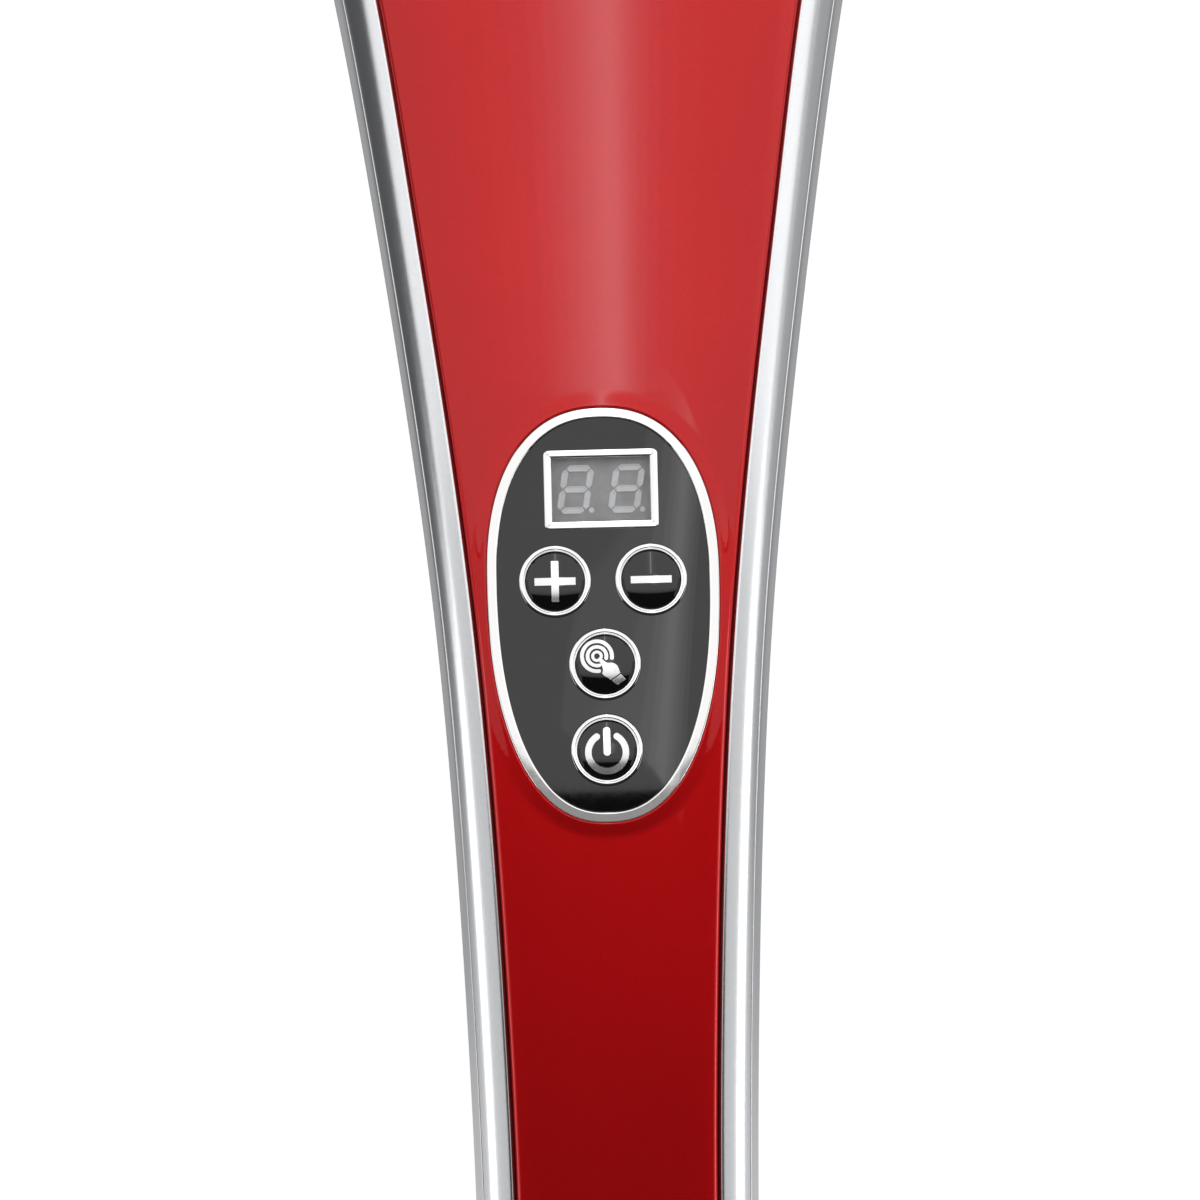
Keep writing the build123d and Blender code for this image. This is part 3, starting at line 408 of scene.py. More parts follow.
def half_panel(s, off=0.0):
    s = np.asarray(s, float)
    r = panel_w(s) + off
    q = np.clip((s - HEAD_S) / (40.5 + off), 0, 1)
    r = np.where(s > HEAD_S, (45.7 + off) * np.sqrt(np.maximum(0, 1 - q ** 2)), r)
    q = np.clip((-s - 155) / (12.5 + off), 0, 1)
    return np.where(s < -155, (16.75 + off) * np.maximum(0, 1 - q ** 2.2) ** (1 / 2.2), r)


def panel_loop(off=0.0, step=0.9):
    a = 12.5 + off
    t = np.radians(np.linspace(0, 90, 60))
    s = np.concatenate([-155 - a * np.cos(t), np.arange(-154.5, HEAD_S, 1.0),
                        HEAD_S + (40.5 + off) * np.sin(np.radians(np.linspace(0, 90, 120)))])
    x = half_panel(s, off)
    right = np.stack([x, s], axis=1)
    left = np.stack([-x[1:-1], s[1:-1]], axis=1)[::-1]
    return resample(np.vstack([right, left]), step)


def circle(r, cx=0.0, cy=0.0, n=96):
    a = np.linspace(0, 2 * math.pi, n, endpoint=False)
    return np.stack([cx + r * np.cos(a), cy + r * np.sin(a)], axis=1)


def round_rect(w, h, r, cx=0.0, cy=0.0, step=0.25):
    pts = []
    for sx, sy, a0 in ((1, -1, -90), (1, 1, 0), (-1, 1, 90), (-1, -1, 180)):
        for k in range(9):
            a = math.radians(a0 + 90 * k / 8)
            pts.append((cx + sx * (w / 2 - r) + r * math.cos(a), cy + sy * (h / 2 - r) + r * math.sin(a)))
    return resample(np.array(pts), step)


def band(name, loop, profile, base=None, body="housing", to3d=panel3d, smooth=38.0):
    """A closed ring: profile points (inset, height) swept round a plan loop in the panel frame."""
    area = 0.5 * np.sum(loop[:, 0] * np.roll(loop[:, 1], -1) - np.roll(loop[:, 0], -1) * loop[:, 1])
    if area < 0:
        loop = loop[::-1]
    n_in = loop_normals(loop)
    rows = []
    for off, h in profile:
        p = loop + n_in * off
        b = lift(p[:, 0], p[:, 1]) if base is None else np.full(len(p), base)
        rows.append(np.column_stack([p, b + h]))
    nv = len(loop)
    verts = to3d(np.vstack(rows))
    faces = grid_faces(len(rows), nv, close_u=True, close_v=True, flip=True)
    return new_mesh(name, verts, faces, body=body, smooth=smooth)


def arc_profile(x0, h0, r, a0, a1, n=6):
    """Points on an arc with centre (x0, h0)."""
    return [(x0 + r * math.cos(math.radians(a0 + (a1 - a0) * k / n)),
             h0 + r * math.sin(math.radians(a0 + (a1 - a0) * k / n))) for k in range(n + 1)]


def lathe(name, profile, place, body, n=96, smooth=38.0):
    """Turned piece: profile (radius, height) from the axis at the top to the axis below."""
    verts, faces, rings = [], [], []
    for r, h in profile:
        if r < 1e-6:
            rings.append([len(verts)])
            verts.append((0.0, 0.0, h))
        else:
            rings.append(list(range(len(verts), len(verts) + n)))
            for k in range(n):
                a = 2 * math.pi * k / n
                verts.append((r * math.cos(a), r * math.sin(a), h))
    for a, b in zip(rings, rings[1:]):
        if len(a) == 1 and len(b) == 1:
            continue
        for k in range(n):
            k2 = (k + 1) % n
            if len(a) == 1:
                faces.append((a[0], b[k], b[k2]))
            elif len(b) == 1:
                faces.append((a[k], b[0], a[k2]))
            else:
                faces.append((a[k], b[k], b[k2], a[k2]))
    return new_mesh(name, place(np.array(verts)), faces, body=body, smooth=smooth)


def on_panel(u, v):
    def place(p):
        q = p.copy()
        q[:, 0] += u
        q[:, 1] += v
        return panel3d(q)
    return place


def upright(x, s, z=0.0):
    def place(p):
        q = p.copy()
        q[:, 0] += x
        q[:, 1] += s
        q[:, 2] += z
        return q
    return place


# ------------------------------------------------------------------ red top panel
def egg_distance(u, v):
    """How far a point lies outside the egg outline, in mm."""
    def level(a, b):
        up = np.where(b >= EGG_S - S_MID, EGG_UP, EGG_DOWN)
        w = (b - (EGG_S - S_MID)) / up
        return (np.abs(a / EGG_W) ** EGG_N + np.abs(w) ** EGG_N + 1e-12) ** (1 / EGG_N)
    h = 0.05
    q = level(u, v)
    gu = (level(u + h, v) - level(u - h, v)) / (2 * h)
    gv = (level(u, v + h) - level(u, v - h)) / (2 * h)
    return (q - 1) / np.maximum(np.hypot(gu, gv), 1e-4)


LIP_H, LIP_W = 0.34, 2.6


def red_z(x, s):
    z = skin_top(x, s)
    v = (s - S_MID) * CT + (z - ORIGIN[2]) * ST
    near = (np.abs(v) < 50)
    d = np.where(near, egg_distance(x, np.where(near, v, 0.0)), 99.0)
    side = np.clip((half_panel(s) - np.abs(x)) / 2.4, 0, 1)
    t = np.clip(1 - d / LIP_W, 0, 1)
    return z + LIP_H * t * t * (3 - 2 * t) * (0.35 + 0.65 * side)


def egg_plan(off, n=420):
    p = egg(off, n)
    h = lift(p[:, 0], p[:, 1])
    return np.stack([p[:, 0], S_MID + p[:, 1] * CT - h * ST], axis=1)


red = plate("red_panel_skin", [panel_loop(-0.20, 0.8), egg_plan(0.02)], 1.6, red_z, [0.70, 0.35], 1.9,
            hems={0: [1.0, 1.5, 2.1, 2.9], 1: [0.6, 0.95, 1.35, 1.8, 2.3, 2.9, 3.7]})
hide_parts("red_top_panel")

# ------------------------------------------------------------------ fascia and chrome ring
RING_PROFILE = [(0.0, -1.9), (0.0, 0.30), (0.03, 0.36), (0.10, 0.395), (0.18, 0.405), (0.22, 0.406), (EGG_RING - 0.30, 0.420),
                (EGG_RING - 0.25, 0.4205), (EGG_RING - 0.16, 0.405), (EGG_RING - 0.07, 0.345), (EGG_RING - 0.02, 0.25),
                (EGG_RING, 0.14), (EGG_RING, -1.9)]
ring = band("panel_ring_chrome", egg(0.0), RING_PROFILE)
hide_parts("panel_bezel")

holes = [circle(5.52, x, s - S_MID, 120) for x, s in BUTTONS.values()]
holes.append(round_rect(17.55, 12.15, 0.8, 0.0, DISPLAY_S - S_MID, 0.35))
fascia = plate("fascia_black", [egg(-EGG_RING + 0.03), *holes], 1.5, lambda u, v: lift(u, v) + 0.05, 0.1, 1.9,
               to3d=panel3d, steps=3)
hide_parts("control_fascia")

# ------------------------------------------------------------------ display
dz = float(lift(0.0, DISPLAY_S - S_MID))
FRAME_PROFILE = [(0.0, -2.0), (0.0, 0.22), (0.04, 0.30), (0.12, 0.34), (0.20, 0.35), (1.02, 0.35), (1.12, 0.33), (1.20, 0.26),
                 (1.25, 0.12), (1.25, -0.34), (1.05, -0.36), (1.05, -2.0)]
frame_piece = band("display_frame_chrome", round_rect(17.6, 12.2, 0.8, 0.0, DISPLAY_S - S_MID, 0.2), FRAME_PROFILE, base=dz)
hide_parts("display_bezel")

# ------------------------------------------------------------------ keys
DOME_H, DOME_BASE, CAP_R = 0.85, 0.1, 4.52
pieces = {}
for key, (x, s) in BUTTONS.items():
    h0 = float(lift(x, s - S_MID))
    R = (CAP_R ** 2 + DOME_H ** 2) / (2 * DOME_H)
    prof = []
    edge = CAP_R - 0.12
    for k in range(17):
        r = edge * k / 16
        prof.append((r, h0 + DOME_BASE + DOME_H - R + math.sqrt(R * R - r * r)))
    hb = prof[-1][1]
    prof += [(CAP_R - 0.05, hb - 0.05), (CAP_R, hb - 0.15), (CAP_R, -5.35), (5.4, -5.35), (5.4, -6.3), (1.5, -6.3), (1.5, -8.8), (0.0, -8.8)]
    cap = lathe(key + "_key_cap", prof, on_panel(x, s - S_MID), key + "_key")
    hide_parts(key + "_button")
    pieces[key] = cap
ring_prof = [(0.0, -1.9), (0.0, 0.16), (0.05, 0.26), (0.13, 0.31), (0.50, 0.33), (0.58, 0.31), (0.63, 0.24), (0.66, 0.06), (0.71, 0.06),
             (0.73, 0.15), (0.77, 0.18), (0.86, 0.18), (0.91, 0.14), (0.93, 0.06), (0.93, -1.9)]
key_rings = []
for key, (x, s) in BUTTONS.items():
    key_rings.append(band(key + "_ring_chrome", circle(5.54, x, s - S_MID, 128), ring_prof, base=float(lift(x, s - S_MID)), smooth=30))
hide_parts("button_rings")

# ------------------------------------------------------------------ pointing hand mark
def key_plate(name, key, loops, spacing, radius, steps=3):
    x, st = BUTTONS[key]
    h0 = float(lift(x, st - S_MID))
    big = (CAP_R ** 2 + DOME_H ** 2) / (2 * DOME_H)

    def dome(u, v):
        return h0 + DOME_BASE + DOME_H - big + np.sqrt(big * big - u * u - v * v) + 0.11

    def place(verts, normals):
        q = verts.copy()
        q[:, 0] += x
        q[:, 1] += st - S_MID
        return panel3d(q, normals)
    return plate(name, loops, spacing, dome, radius, 0.3, to3d=place, body=key + "_key", steps=steps)


def arc_loop(r_out, r_in, a0, a1, cx, cy, n=64):
    t = np.radians(np.linspace(a0, a1, n))
    rm, q = (r_out + r_in) / 2, (r_out - r_in) / 2
    e1 = np.radians(np.linspace(a1, a1 + 180, 10)[1:-1])
    e0 = np.radians(np.linspace(a0 + 180, a0 + 360, 10)[1:-1])
    t0, t1 = math.radians(a0), math.radians(a1)
    return np.vstack([np.stack([cx + r_out * np.cos(t), cy + r_out * np.sin(t)], 1),
                      np.stack([cx + rm * math.cos(t1) + q * np.cos(e1), cy + rm * math.sin(t1) + q * np.sin(e1)], 1),
                      np.stack([cx + r_in * np.cos(t[::-1]), cy + r_in * np.sin(t[::-1])], 1),
                      np.stack([cx + rm * math.cos(t0) + q * np.cos(e0), cy + rm * math.sin(t0) + q * np.sin(e0)], 1)])


HAND = np.array([(-1.12, 0.86), (-0.88, 1.12), (-0.60, 1.08), (-0.42, 0.86), (0.12, 0.36), (0.45, 0.24), (1.15, 0.25), (1.55, 0.08),
                 (1.90, -0.22), (2.12, -0.75), (2.30, -1.38), (1.98, -1.66), (1.00, -2.30), (0.86, -2.48), (0.42, -2.10), (-0.22, -1.76),
                 (-0.48, -1.42), (-0.34, -0.92), (-0.44, -0.42), (-0.82, 0.34)])
CUFF = np.array([(2.38, -1.52), (3.14, -2.38), (1.82, -3.22), (0.98, -2.55), (1.12, -2.42), (2.06, -1.80)])
mode_bits = [key_plate("mode_hand_foil", "mode", [resample(HAND, 0.08)], 0.3, 0.05),
             key_plate("mode_cuff_foil", "mode", [resample(CUFF, 0.08)], 0.3, 0.05)]
for k, (ro, ri, a0, a1) in enumerate(((2.62, 2.00, -8, 277), (1.74, 1.16, -14, 284), (0.90, 0.42, -15, 285))):
    mode_bits.append(key_plate("mode_wave_foil_%d" % k, "mode", [resample(arc_loop(ro, ri, a0, a1, -1.22, 1.27), 0.08)], 0.3, 0.05))
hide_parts("mode_mark")

# ------------------------------------------------------------------ display digits
def numeral(cx):
    w, h, t, g = 3.95, 6.5, 1.02, 0.10
    lean = math.tan(math.radians(9))
    hw, hh, q = w / 2, h / 2, t / 2

    def hexa(x0, y0, x1, y1, d):
        e = d * 1.9
        if y0 == y1:
            p = [(x0 + g + e, y0), (x0 + g + q + d * 0.4, y0 + q - d), (x1 - g - q - d * 0.4, y0 + q - d), (x1 - g - e, y0),
                 (x1 - g - q - d * 0.4, y0 - q + d), (x0 + g + q + d * 0.4, y0 - q + d)]
        else:
            p = [(x0, y0 + g + e), (x0 + q - d, y0 + g + q + d * 0.4), (x0 + q - d, y1 - g - q - d * 0.4), (x0, y1 - g - e),
                 (x0 - q + d, y1 - g - q - d * 0.4), (x0 - q + d, y0 + g + q + d * 0.4)]
        return np.array([(cx + a + b * lean, b + DISPLAY_S - S_MID) for a, b in p])
    bars = [(-hw, y, hw, y) for y in (-hh, 0.0, hh)]
    bars += [(x, 0.0, x, hh) for x in (-hw, hw)] + [(x, -hh, x, 0.0) for x in (-hw, hw)]
    verts, faces = [], []
    for bar in bars:
        base = len(verts)
        for d, z in ((0.0, -1.78), (0.0, -1.56), (0.05, -1.51), (0.17, -1.51), (0.27, -1.58)):
            verts += [(a, b, dz + z) for a, b in hexa(*bar, d)]
        for r in range(4):
            for k in range(6):
                a, b = base + 6 * r + k, base + 6 * r + (k + 1) % 6
                faces.append((a, a + 6, b + 6, b))
        faces.append(tuple(base + 24 + k for k in range(6)))
        faces.append(tuple(base + 5 - k for k in range(6)))
    base = len(verts)
    px, py = cx + hw + 0.95 - hh * lean, -hh + DISPLAY_S - S_MID
    n = 24
    for r, z in ((0.42, -1.78), (0.42, -1.56), (0.36, -1.51)):
        verts += [(px + r * math.cos(2 * math.pi * k / n), py + r * math.sin(2 * math.pi * k / n), dz + z) for k in range(n)]
    for r in range(2):
        for k in range(n):
            a, b = base + n * r + k, base + n * r + (k + 1) % n
            faces.append((a, b, b + n, a + n))
    faces.append(tuple(base + 2 * n + k for k in range(n)))
    faces.append(tuple(base + n - 1 - k for k in range(n)))
    return verts, faces


sv, sf = [], []
for cx in (-3.92, 3.95):
    v, f = numeral(cx)
    sf += [tuple(i + len(sv) for i in q) for q in f]
    sv += v
digits = new_mesh("display_digits", panel3d(np.array(sv)), sf, smooth=15)
bm = bmesh.new()
bm.from_mesh(digits.data)
bmesh.ops.recalc_face_normals(bm, faces=bm.faces)
bm.to_mesh(digits.data)
bm.free()
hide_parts("display_segments")

# ------------------------------------------------------------------ silver rails (upper casing)
def rail_grid():
    th_n = np.radians(np.concatenate([np.linspace(0, 80, 70), np.linspace(80.5, 90, 20)]))
    th_t = np.radians(np.concatenate([np.linspace(90, 80, 14), np.linspace(79, 0, 40)]))
    mid = np.arange(-154.0, HEAD_S - 0.4, 0.9)
    s_in = np.concatenate([-155 - (12.5 + GAP) * np.sin(th_t), mid, HEAD_S + (40.5 + GAP) * np.sin(th_n)])
    s_out = np.concatenate([-155 - (-155 - SEAM_TAIL) * np.sin(th_t), mid, HEAD_S + (SEAM_NOSE - HEAD_S) * np.sin(th_n)])
    x_in, x_out = half_panel(s_in, GAP), seam_x(s_out)
    x_in[0] = x_in[-1] = x_out[0] = x_out[-1] = 0.0
    right_in, right_out = np.stack([x_in, s_in], 1), np.stack([x_out, s_out], 1)
    m = np.array([-1.0, 1.0])
    return np.vstack([right_in, (right_in[1:-1] * m)[::-1]]), np.vstack([right_out, (right_out[1:-1] * m)[::-1]])


rin, rout = rail_grid()
span = rout - rin
length = np.linalg.norm(span, axis=1)
unit = span / length[:, None]
RI, RO = 0.34, 0.10
cols = []
for k in range(6):
    phi = math.radians(90 * k / 5)
    cols.append(("i", RI * (1 - math.cos(phi)), RI * (1 - math.sin(phi))))
for k in range(1, 15):
    cols.append(("m", k / 15, 0.0))
for k in range(5, -1, -1):
    phi = math.radians(90 * k / 5)
    cols.append(("o", RO * (1 - math.cos(phi)), RO * (1 - math.sin(phi))))
rows_top, rows_low = [], []
for kind, a, drop in cols:
    if kind == "i":
        p = rin + unit * a
    elif kind == "o":
        p = rout - unit * a
    else:
        p = rin + unit * (RI + (length - RI - RO) * a)[:, None]
    x, s = p[:, 0], p[:, 1]
    z = skin_top(x, s)
    h = 0.03
    gx = (skin_top(x + h, s) - skin_top(x - h, s)) / (2 * h)
    gs = (skin_top(x, s + h) - skin_top(x, s - h)) / (2 * h)
    gx, gs = np.clip(gx, -4, 4), np.clip(gs, -4, 4)
    nn = np.stack([-gx, -gs, np.ones(len(gx))], 1)
    nn /= np.linalg.norm(nn, axis=1)[:, None]
    top = np.column_stack([x, s, z]) - nn * drop
    rows_top.append(top)
    rows_low.append(np.column_stack([x, s, z]) - nn * 1.9)
ladder = rows_top + [rows_low[-1], rows_low[len(rows_low) // 2], rows_low[0]]
rails = new_mesh("silver_rails", np.vstack(ladder), grid_faces(len(ladder), len(rin), close_u=True, close_v=True, flip=False), smooth=40)

# floor of the shadow gap and the deck under the red panel, coloured near-black as painted shade for the gap
deck_loop_out, deck_loop_in = panel_loop(GAP + 0.3, 1.2), None
deck = plate("deck_black_painted_shade", [panel_loop(GAP + 0.5, 1.5), egg_plan(-2.6, 160)], 5.0, lambda x, s: skin_top(x, s) - 2.15, 0.01, 1.2, steps=1)
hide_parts("upper_casing")


# ------------------------------------------------------------------ lower casing
def lower_rows():
    st = [-175 + 1e-4]
    st += list(-160 - 15.0 * np.sin(np.radians(np.linspace(88.5, 3, 26))))
    st += list(np.arange(-160, HEAD_S, 1.6))
    st += list(HEAD_S + (SEAM_NOSE - HEAD_S) * np.sin(np.radians(np.linspace(0, 90, 56))))
    t0 = math.degrees(math.asin((SEAM_NOSE - HEAD_S) / NOSE_A))
    st += list(HEAD_S + NOSE_A * np.sin(np.radians(np.linspace(t0, 90, 16)[1:])))
    return np.array(st)


def casing_row(s, ncol=88):
    w, zt, zb, nb = [float(q) for q in section(s)]
    w, T = max(w, 1e-5), max(zt - zb, 1e-5)
    ht = TOP_SHARE * T
    hb, zw = T - ht, zt - ht
    full = s >= SEAM_NOSE - 1e-9 or s <= SEAM_TAIL + 1e-9
    zs = float(seam_of(s)) - 0.16
    if full:
        a0 = math.pi / 2
    else:
        u = min(max((zs - zw) / ht, 0.0), 1.0)
        xs = w * max(0.0, 1 - u ** 4) ** 0.25
        a0 = math.atan2(zs - zw, xs)
    rho = 0.0 if full else min(0.13, 0.13 * max(0.0, (SEAM_NOSE - s)) / 1.5, 0.13 * max(0.0, (s - SEAM_TAIL)) / 1.5)
    arc = max(math.hypot(ht * math.sin(a0), w * math.cos(a0)), 1e-3)
    offs, drops = [], []
    for k in range(6):
        phi = math.radians(90 * k / 5)
        offs.append(0.13 * (1 - math.cos(phi)) / arc)
        drops.append(rho * (1 - math.sin(phi)))
    lead = np.array(offs)
    if lead[-1] > 0.4:
        lead = lead * 0.4 / lead[-1]
    a_mid = np.linspace(a0 - lead[-1], -math.pi - (a0 - lead[-1]), ncol - 10)
    ang = np.concatenate([a0 - lead[:-1], a_mid, (-math.pi - a0 + lead[:-1])[::-1]])
    drop = np.concatenate([drops[:-1], np.zeros(len(a_mid)), drops[:-1][::-1]])
    c, sn = np.cos(ang), np.sin(ang)
    n = np.where(sn >= 0, 4.0, nb)
    h = np.where(sn >= 0, ht, hb)
    r = (np.abs(c / w) ** n + np.abs(sn / h) ** n) ** (-1 / n)
    x, z = r * c, r * sn
    nx = n * np.sign(c) * np.abs(x / w) ** (n - 1) / w
    nz = n * np.sign(sn) * np.abs(z / h) ** (n - 1) / h
    ln = np.maximum(np.hypot(nx, nz), 1e-9)
    nx, nz = nx / ln, nz / ln
    return x, zw + z, nx, nz, drop, full


def build_lower():
    st = lower_rows()
    rows, inner, fulls = [], [], []
    for s in st:
        x, z, nx, nz, drop, full = casing_row(s)
        rows.append(np.column_stack([x - nx * drop, np.full(len(x), s), z - nz * drop]))
        fulls.append(full)
        inner.append(None)
    outer = np.array(rows)
    outer[:, :, 2] = np.maximum(outer[:, :, 2], 0.0)
    nr, nc = outer.shape[:2]
    # tail cap: rings from the end section to the charging inlet
    cap = []
    end = outer[0]
    ang = np.arctan2(end[:, 2] - 16.7, end[:, 0])
    hole = np.column_stack([4.45 * np.cos(ang), np.full(nc, -175.0), 16.7 + 4.45 * np.sin(ang)])
    for t in (1.0, 0.93, 0.82, 0.6, 0.35, 0.12, 0.0):
        q = hole + (end - hole) * t
        q[:, 1] = -175.0
        cap.append(q)
    inlet = hole.copy()
    inlet[:, 1] = -173.0
    stack = np.array([inlet] + cap[::-1][:-1] + list(outer))
    fl = [True] * (len(stack) - nr) + fulls
    nr = len(stack)
    d_s = np.gradient(stack, axis=0)
    d_a = np.gradient(stack, axis=1)
    nn = np.cross(d_a, d_s)
    ln = np.linalg.norm(nn, axis=2, keepdims=True)
    nn = nn / np.maximum(ln, 1e-9)
    mid = np.array([0, 0, 45.0])
    if (nn[nr // 2, nc // 2] @ (stack[nr // 2, nc // 2] - mid)) < 0:
        nn = -nn
    return stack, nn, fl


stack, nn, fl = build_lower()
nr, nc = stack.shape[:2]
cx = np.zeros((nr, 1, 3))
for i in range(nr):
    sec = section(stack[i, nc // 2, 1])
    cx[i, 0] = (0, stack[i, nc // 2, 1], float(sec[1] - TOP_SHARE * (sec[1] - sec[2])))
inner = stack + (cx - stack) * np.minimum(1.0, 2.0 / np.maximum(np.linalg.norm(cx - stack, axis=2, keepdims=True), 1e-6))
inner[:, :, 1] = np.clip(inner[:, :, 1], -171.0, 221.0)
verts = np.vstack([stack.reshape(-1, 3), inner.reshape(-1, 3)])
faces = []
off = nr * nc
for i in range(nr - 1):
    for j in range(nc - 1):
        a, b, c, d = i * nc + j, (i + 1) * nc + j, (i + 1) * nc + j + 1, i * nc + j + 1
        faces.append((a, d, c, b))
        faces.append((off + a, off + b, off + c, off + d))
    if not (fl[i] and fl[i + 1]):
        a, b = i * nc, (i + 1) * nc
        faces.append((a, b, off + b, off + a))
        a, b = i * nc + nc - 1, (i + 1) * nc + nc - 1
        faces.append((a, off + a, off + b, b))
for j in range(nc - 1):
    faces.append((j, off + j, off + j + 1, j + 1))
casing = new_mesh("lower_casing_skin", verts, faces, smooth=180)
bm = bmesh.new()
bm.from_mesh(casing.data)
bmesh.ops.remove_doubles(bm, verts=bm.verts, dist=2e-6)
bmesh.ops.dissolve_degenerate(bm, dist=1e-7, edges=bm.edges)
bmesh.ops.recalc_face_normals(bm, faces=bm.faces)
print("lower casing open edges", sum(1 for e in bm.edges if len(e.link_faces) != 2))
bm.to_mesh(casing.data)
bm.free()


def cutter(name, make):
    me = bpy.data.meshes.new(name)
    bm = bmesh.new()
    make(bm)
    bmesh.ops.recalc_face_normals(bm, faces=bm.faces)
    bm.to_mesh(me)
    bm.free()
    ob = bpy.data.objects.new(name, me)
    bpy.context.scene.collection.objects.link(ob)
    return ob


def add_prism(bm, pts, z0, z1):
    """pts: plan points (x, station) in mm."""
    q = [((x) * MM, (s - Y_SHIFT) * MM) for x, s in pts]
    lo = [bm.verts.new((x, y, z0 * MM)) for x, y in q]
    hi = [bm.verts.new((x, y, z1 * MM)) for x, y in q]
    bm.faces.new(lo[::-1])
    bm.faces.new(hi)
    for k in range(len(q)):
        k2 = (k + 1) % len(q)
        bm.faces.new((lo[k], lo[k2], hi[k2], hi[k]))


SCREWS = [(16.2, -152.0), (17.0, -40.0), (27.0, 62.0), (40.0, 130.0), (24.0, 207.0)]


def make_cuts(bm):
    for sx in (-1, 1):
        add_prism(bm, circle(15.5, sx * 27.0, 172.0, 96), 5, 37)
        for x, s in SCREWS:
            add_prism(bm, circle(2.9, sx * x, s, 40), -6, float(belly_z(s)) + 6.0 + (10 if x > 35 else 4 if x < 20 else 2))
    for x in (-12.0, -7.2, -2.4, 2.4, 7.2, 12.0):
        ln = 9.0 - abs(x) * 0.22
        slot = [(x + 0.9 * math.cos(a), 103 + math.copysign(ln - 0.9, math.sin(a)) + 0.9 * math.sin(a))
                for a in np.linspace(1e-4, 2 * math.pi + 1e-4, 24, endpoint=False)]
        add_prism(bm, slot, 15, 40)


cuts = cutter("cuts", make_cuts)
mod = casing.modifiers.new("cuts", "BOOLEAN")
mod.operation, mod.solver, mod.object = "DIFFERENCE", "EXACT", cuts
dg = bpy.context.evaluated_depsgraph_get()
done = bpy.data.meshes.new_from_object(casing.evaluated_get(dg))
casing.modifiers.remove(mod)
casing.data = done
casing.data.polygons.foreach_set("use_smooth", [True] * len(casing.data.polygons))
casing.data.set_sharp_from_angle(angle=math.radians(35))
bpy.data.objects.remove(cuts, do_unlink=True)
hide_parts("lower_casing")

# ------------------------------------------------------------------ soft grip under the handle
def belly_of(x, s):
    w, zt, zb, nb = section(s)
    hb = (1 - TOP_SHARE) * (zt - zb)
    r = np.clip(np.abs(x) / np.maximum(w, 1e-6), 0, 0.999)
    return zb + hb - hb * (1 - r ** nb) ** (1 / nb)


def grip_z(x, s):
    """Height measured downwards, so that the plate is made the right way up and turned over."""
    z = -belly_of(x, s) + 0.45
    t = (s + 124) / 7.0
    k = np.round(t)
    on = (k >= 0) & (k <= 8)
    d = np.abs(t - k) * 7.0
    fade = np.clip((10.2 - np.abs(x)) / 1.2, 0, 1)
    fade = fade * fade * (3 - 2 * fade)
    groove = np.where(on & (d < 1.1), 0.5 * (1 + np.cos(np.pi * d / 1.1)), 0.0)
    return z - 0.38 * groove * fade


a = np.linspace(0, 2 * math.pi, 360, endpoint=False)
rr = (np.abs(np.cos(a)) ** 3.2 + np.abs(np.sin(a)) ** 3.2) ** (-1 / 3.2)
grip_loop = resample(np.stack([14.0 * rr * np.cos(a), -96.0 + 42.0 * rr * np.sin(a)], 1), 0.6)


def turn_over(verts, normals):
    v, n = verts.copy(), normals.copy()
    v[:, 2] *= -1
    n[:, 2] *= -1
    return v, n


grip = plate("rear_grip_rubber", [grip_loop], 0.7, grip_z, 0.4, 1.4, to3d=turn_over)
grip.data.flip_normals()
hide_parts("rear_grip")

# ------------------------------------------------------------------ massage pads
for side, sx in (("left", -1), ("right", 1)):
    prof = [(0.0, 0.0), (4.0, 0.0), (9.0, 0.0), (12.0, 0.02)]
    prof += [(14.6 + 7.7 * math.sin(math.radians(t)), 7.7 - 7.65 * math.cos(math.radians(t))) for t in np.linspace(4, 90, 16)]
    prof += [(22.3, 9.0), (22.3, 9.6), (21.9, 9.9), (21.9, 10.5), (22.3, 10.8), (22.3, 11.4), (21.9, 11.7), (21.9, 12.3),
             (22.3, 12.6), (22.3, 13.6)]
    prof += [(20.0 + 2.3 * math.cos(math.radians(t)), 13.9 + 2.4 * math.sin(math.radians(t))) for t in np.linspace(0, 90, 8)]
    prof += [(15.0, 16.3), (13.2, 16.2), (12.6, 15.9), (12.5, 15.2), (12.5, 13.7), (20.4, 13.7), (20.4, 6.0), (0.0, 6.0)]
    pad = lathe(side + "_massage_pad", prof[::-1], upright(sx * 27.0, 172.0), "rocker", n=144)
    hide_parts(side + "_node_pad")

# ------------------------------------------------------------------ materials
def shader(name):
    m = bpy.data.materials.new(name)
    m.use_nodes = True
    t = m.node_tree
    b = t.nodes["Principled BSDF"]
    c = t.nodes.new("ShaderNodeTexCoord")
    return m, t, b, c


def noise(t, c, scale, detail=3.0, rough=0.55):
    n = t.nodes.new("ShaderNodeTexNoise")
    n.inputs["Scale"].default_value = scale
    n.inputs["Detail"].default_value = detail
    n.inputs["Roughness"].default_value = rough
    t.links.new(c.outputs["Object"], n.inputs["Vector"])
    return n


def remap(t, src, lo, hi, a=0.3, b=0.7):
    r = t.nodes.new("ShaderNodeMapRange")
    r.inputs["From Min"].default_value, r.inputs["From Max"].default_value = a, b
    r.inputs["To Min"].default_value, r.inputs["To Max"].default_value = lo, hi
    t.links.new(src, r.inputs["Value"])
    return r.outputs["Result"]


def tint(t, fac, c0, c1):
    m = t.nodes.new("ShaderNodeMix")
    m.data_type = "RGBA"
    m.inputs[6].default_value = (*c0, 1)
    m.inputs[7].default_value = (*c1, 1)
    t.links.new(fac, m.inputs[0])
    return m.outputs[2]


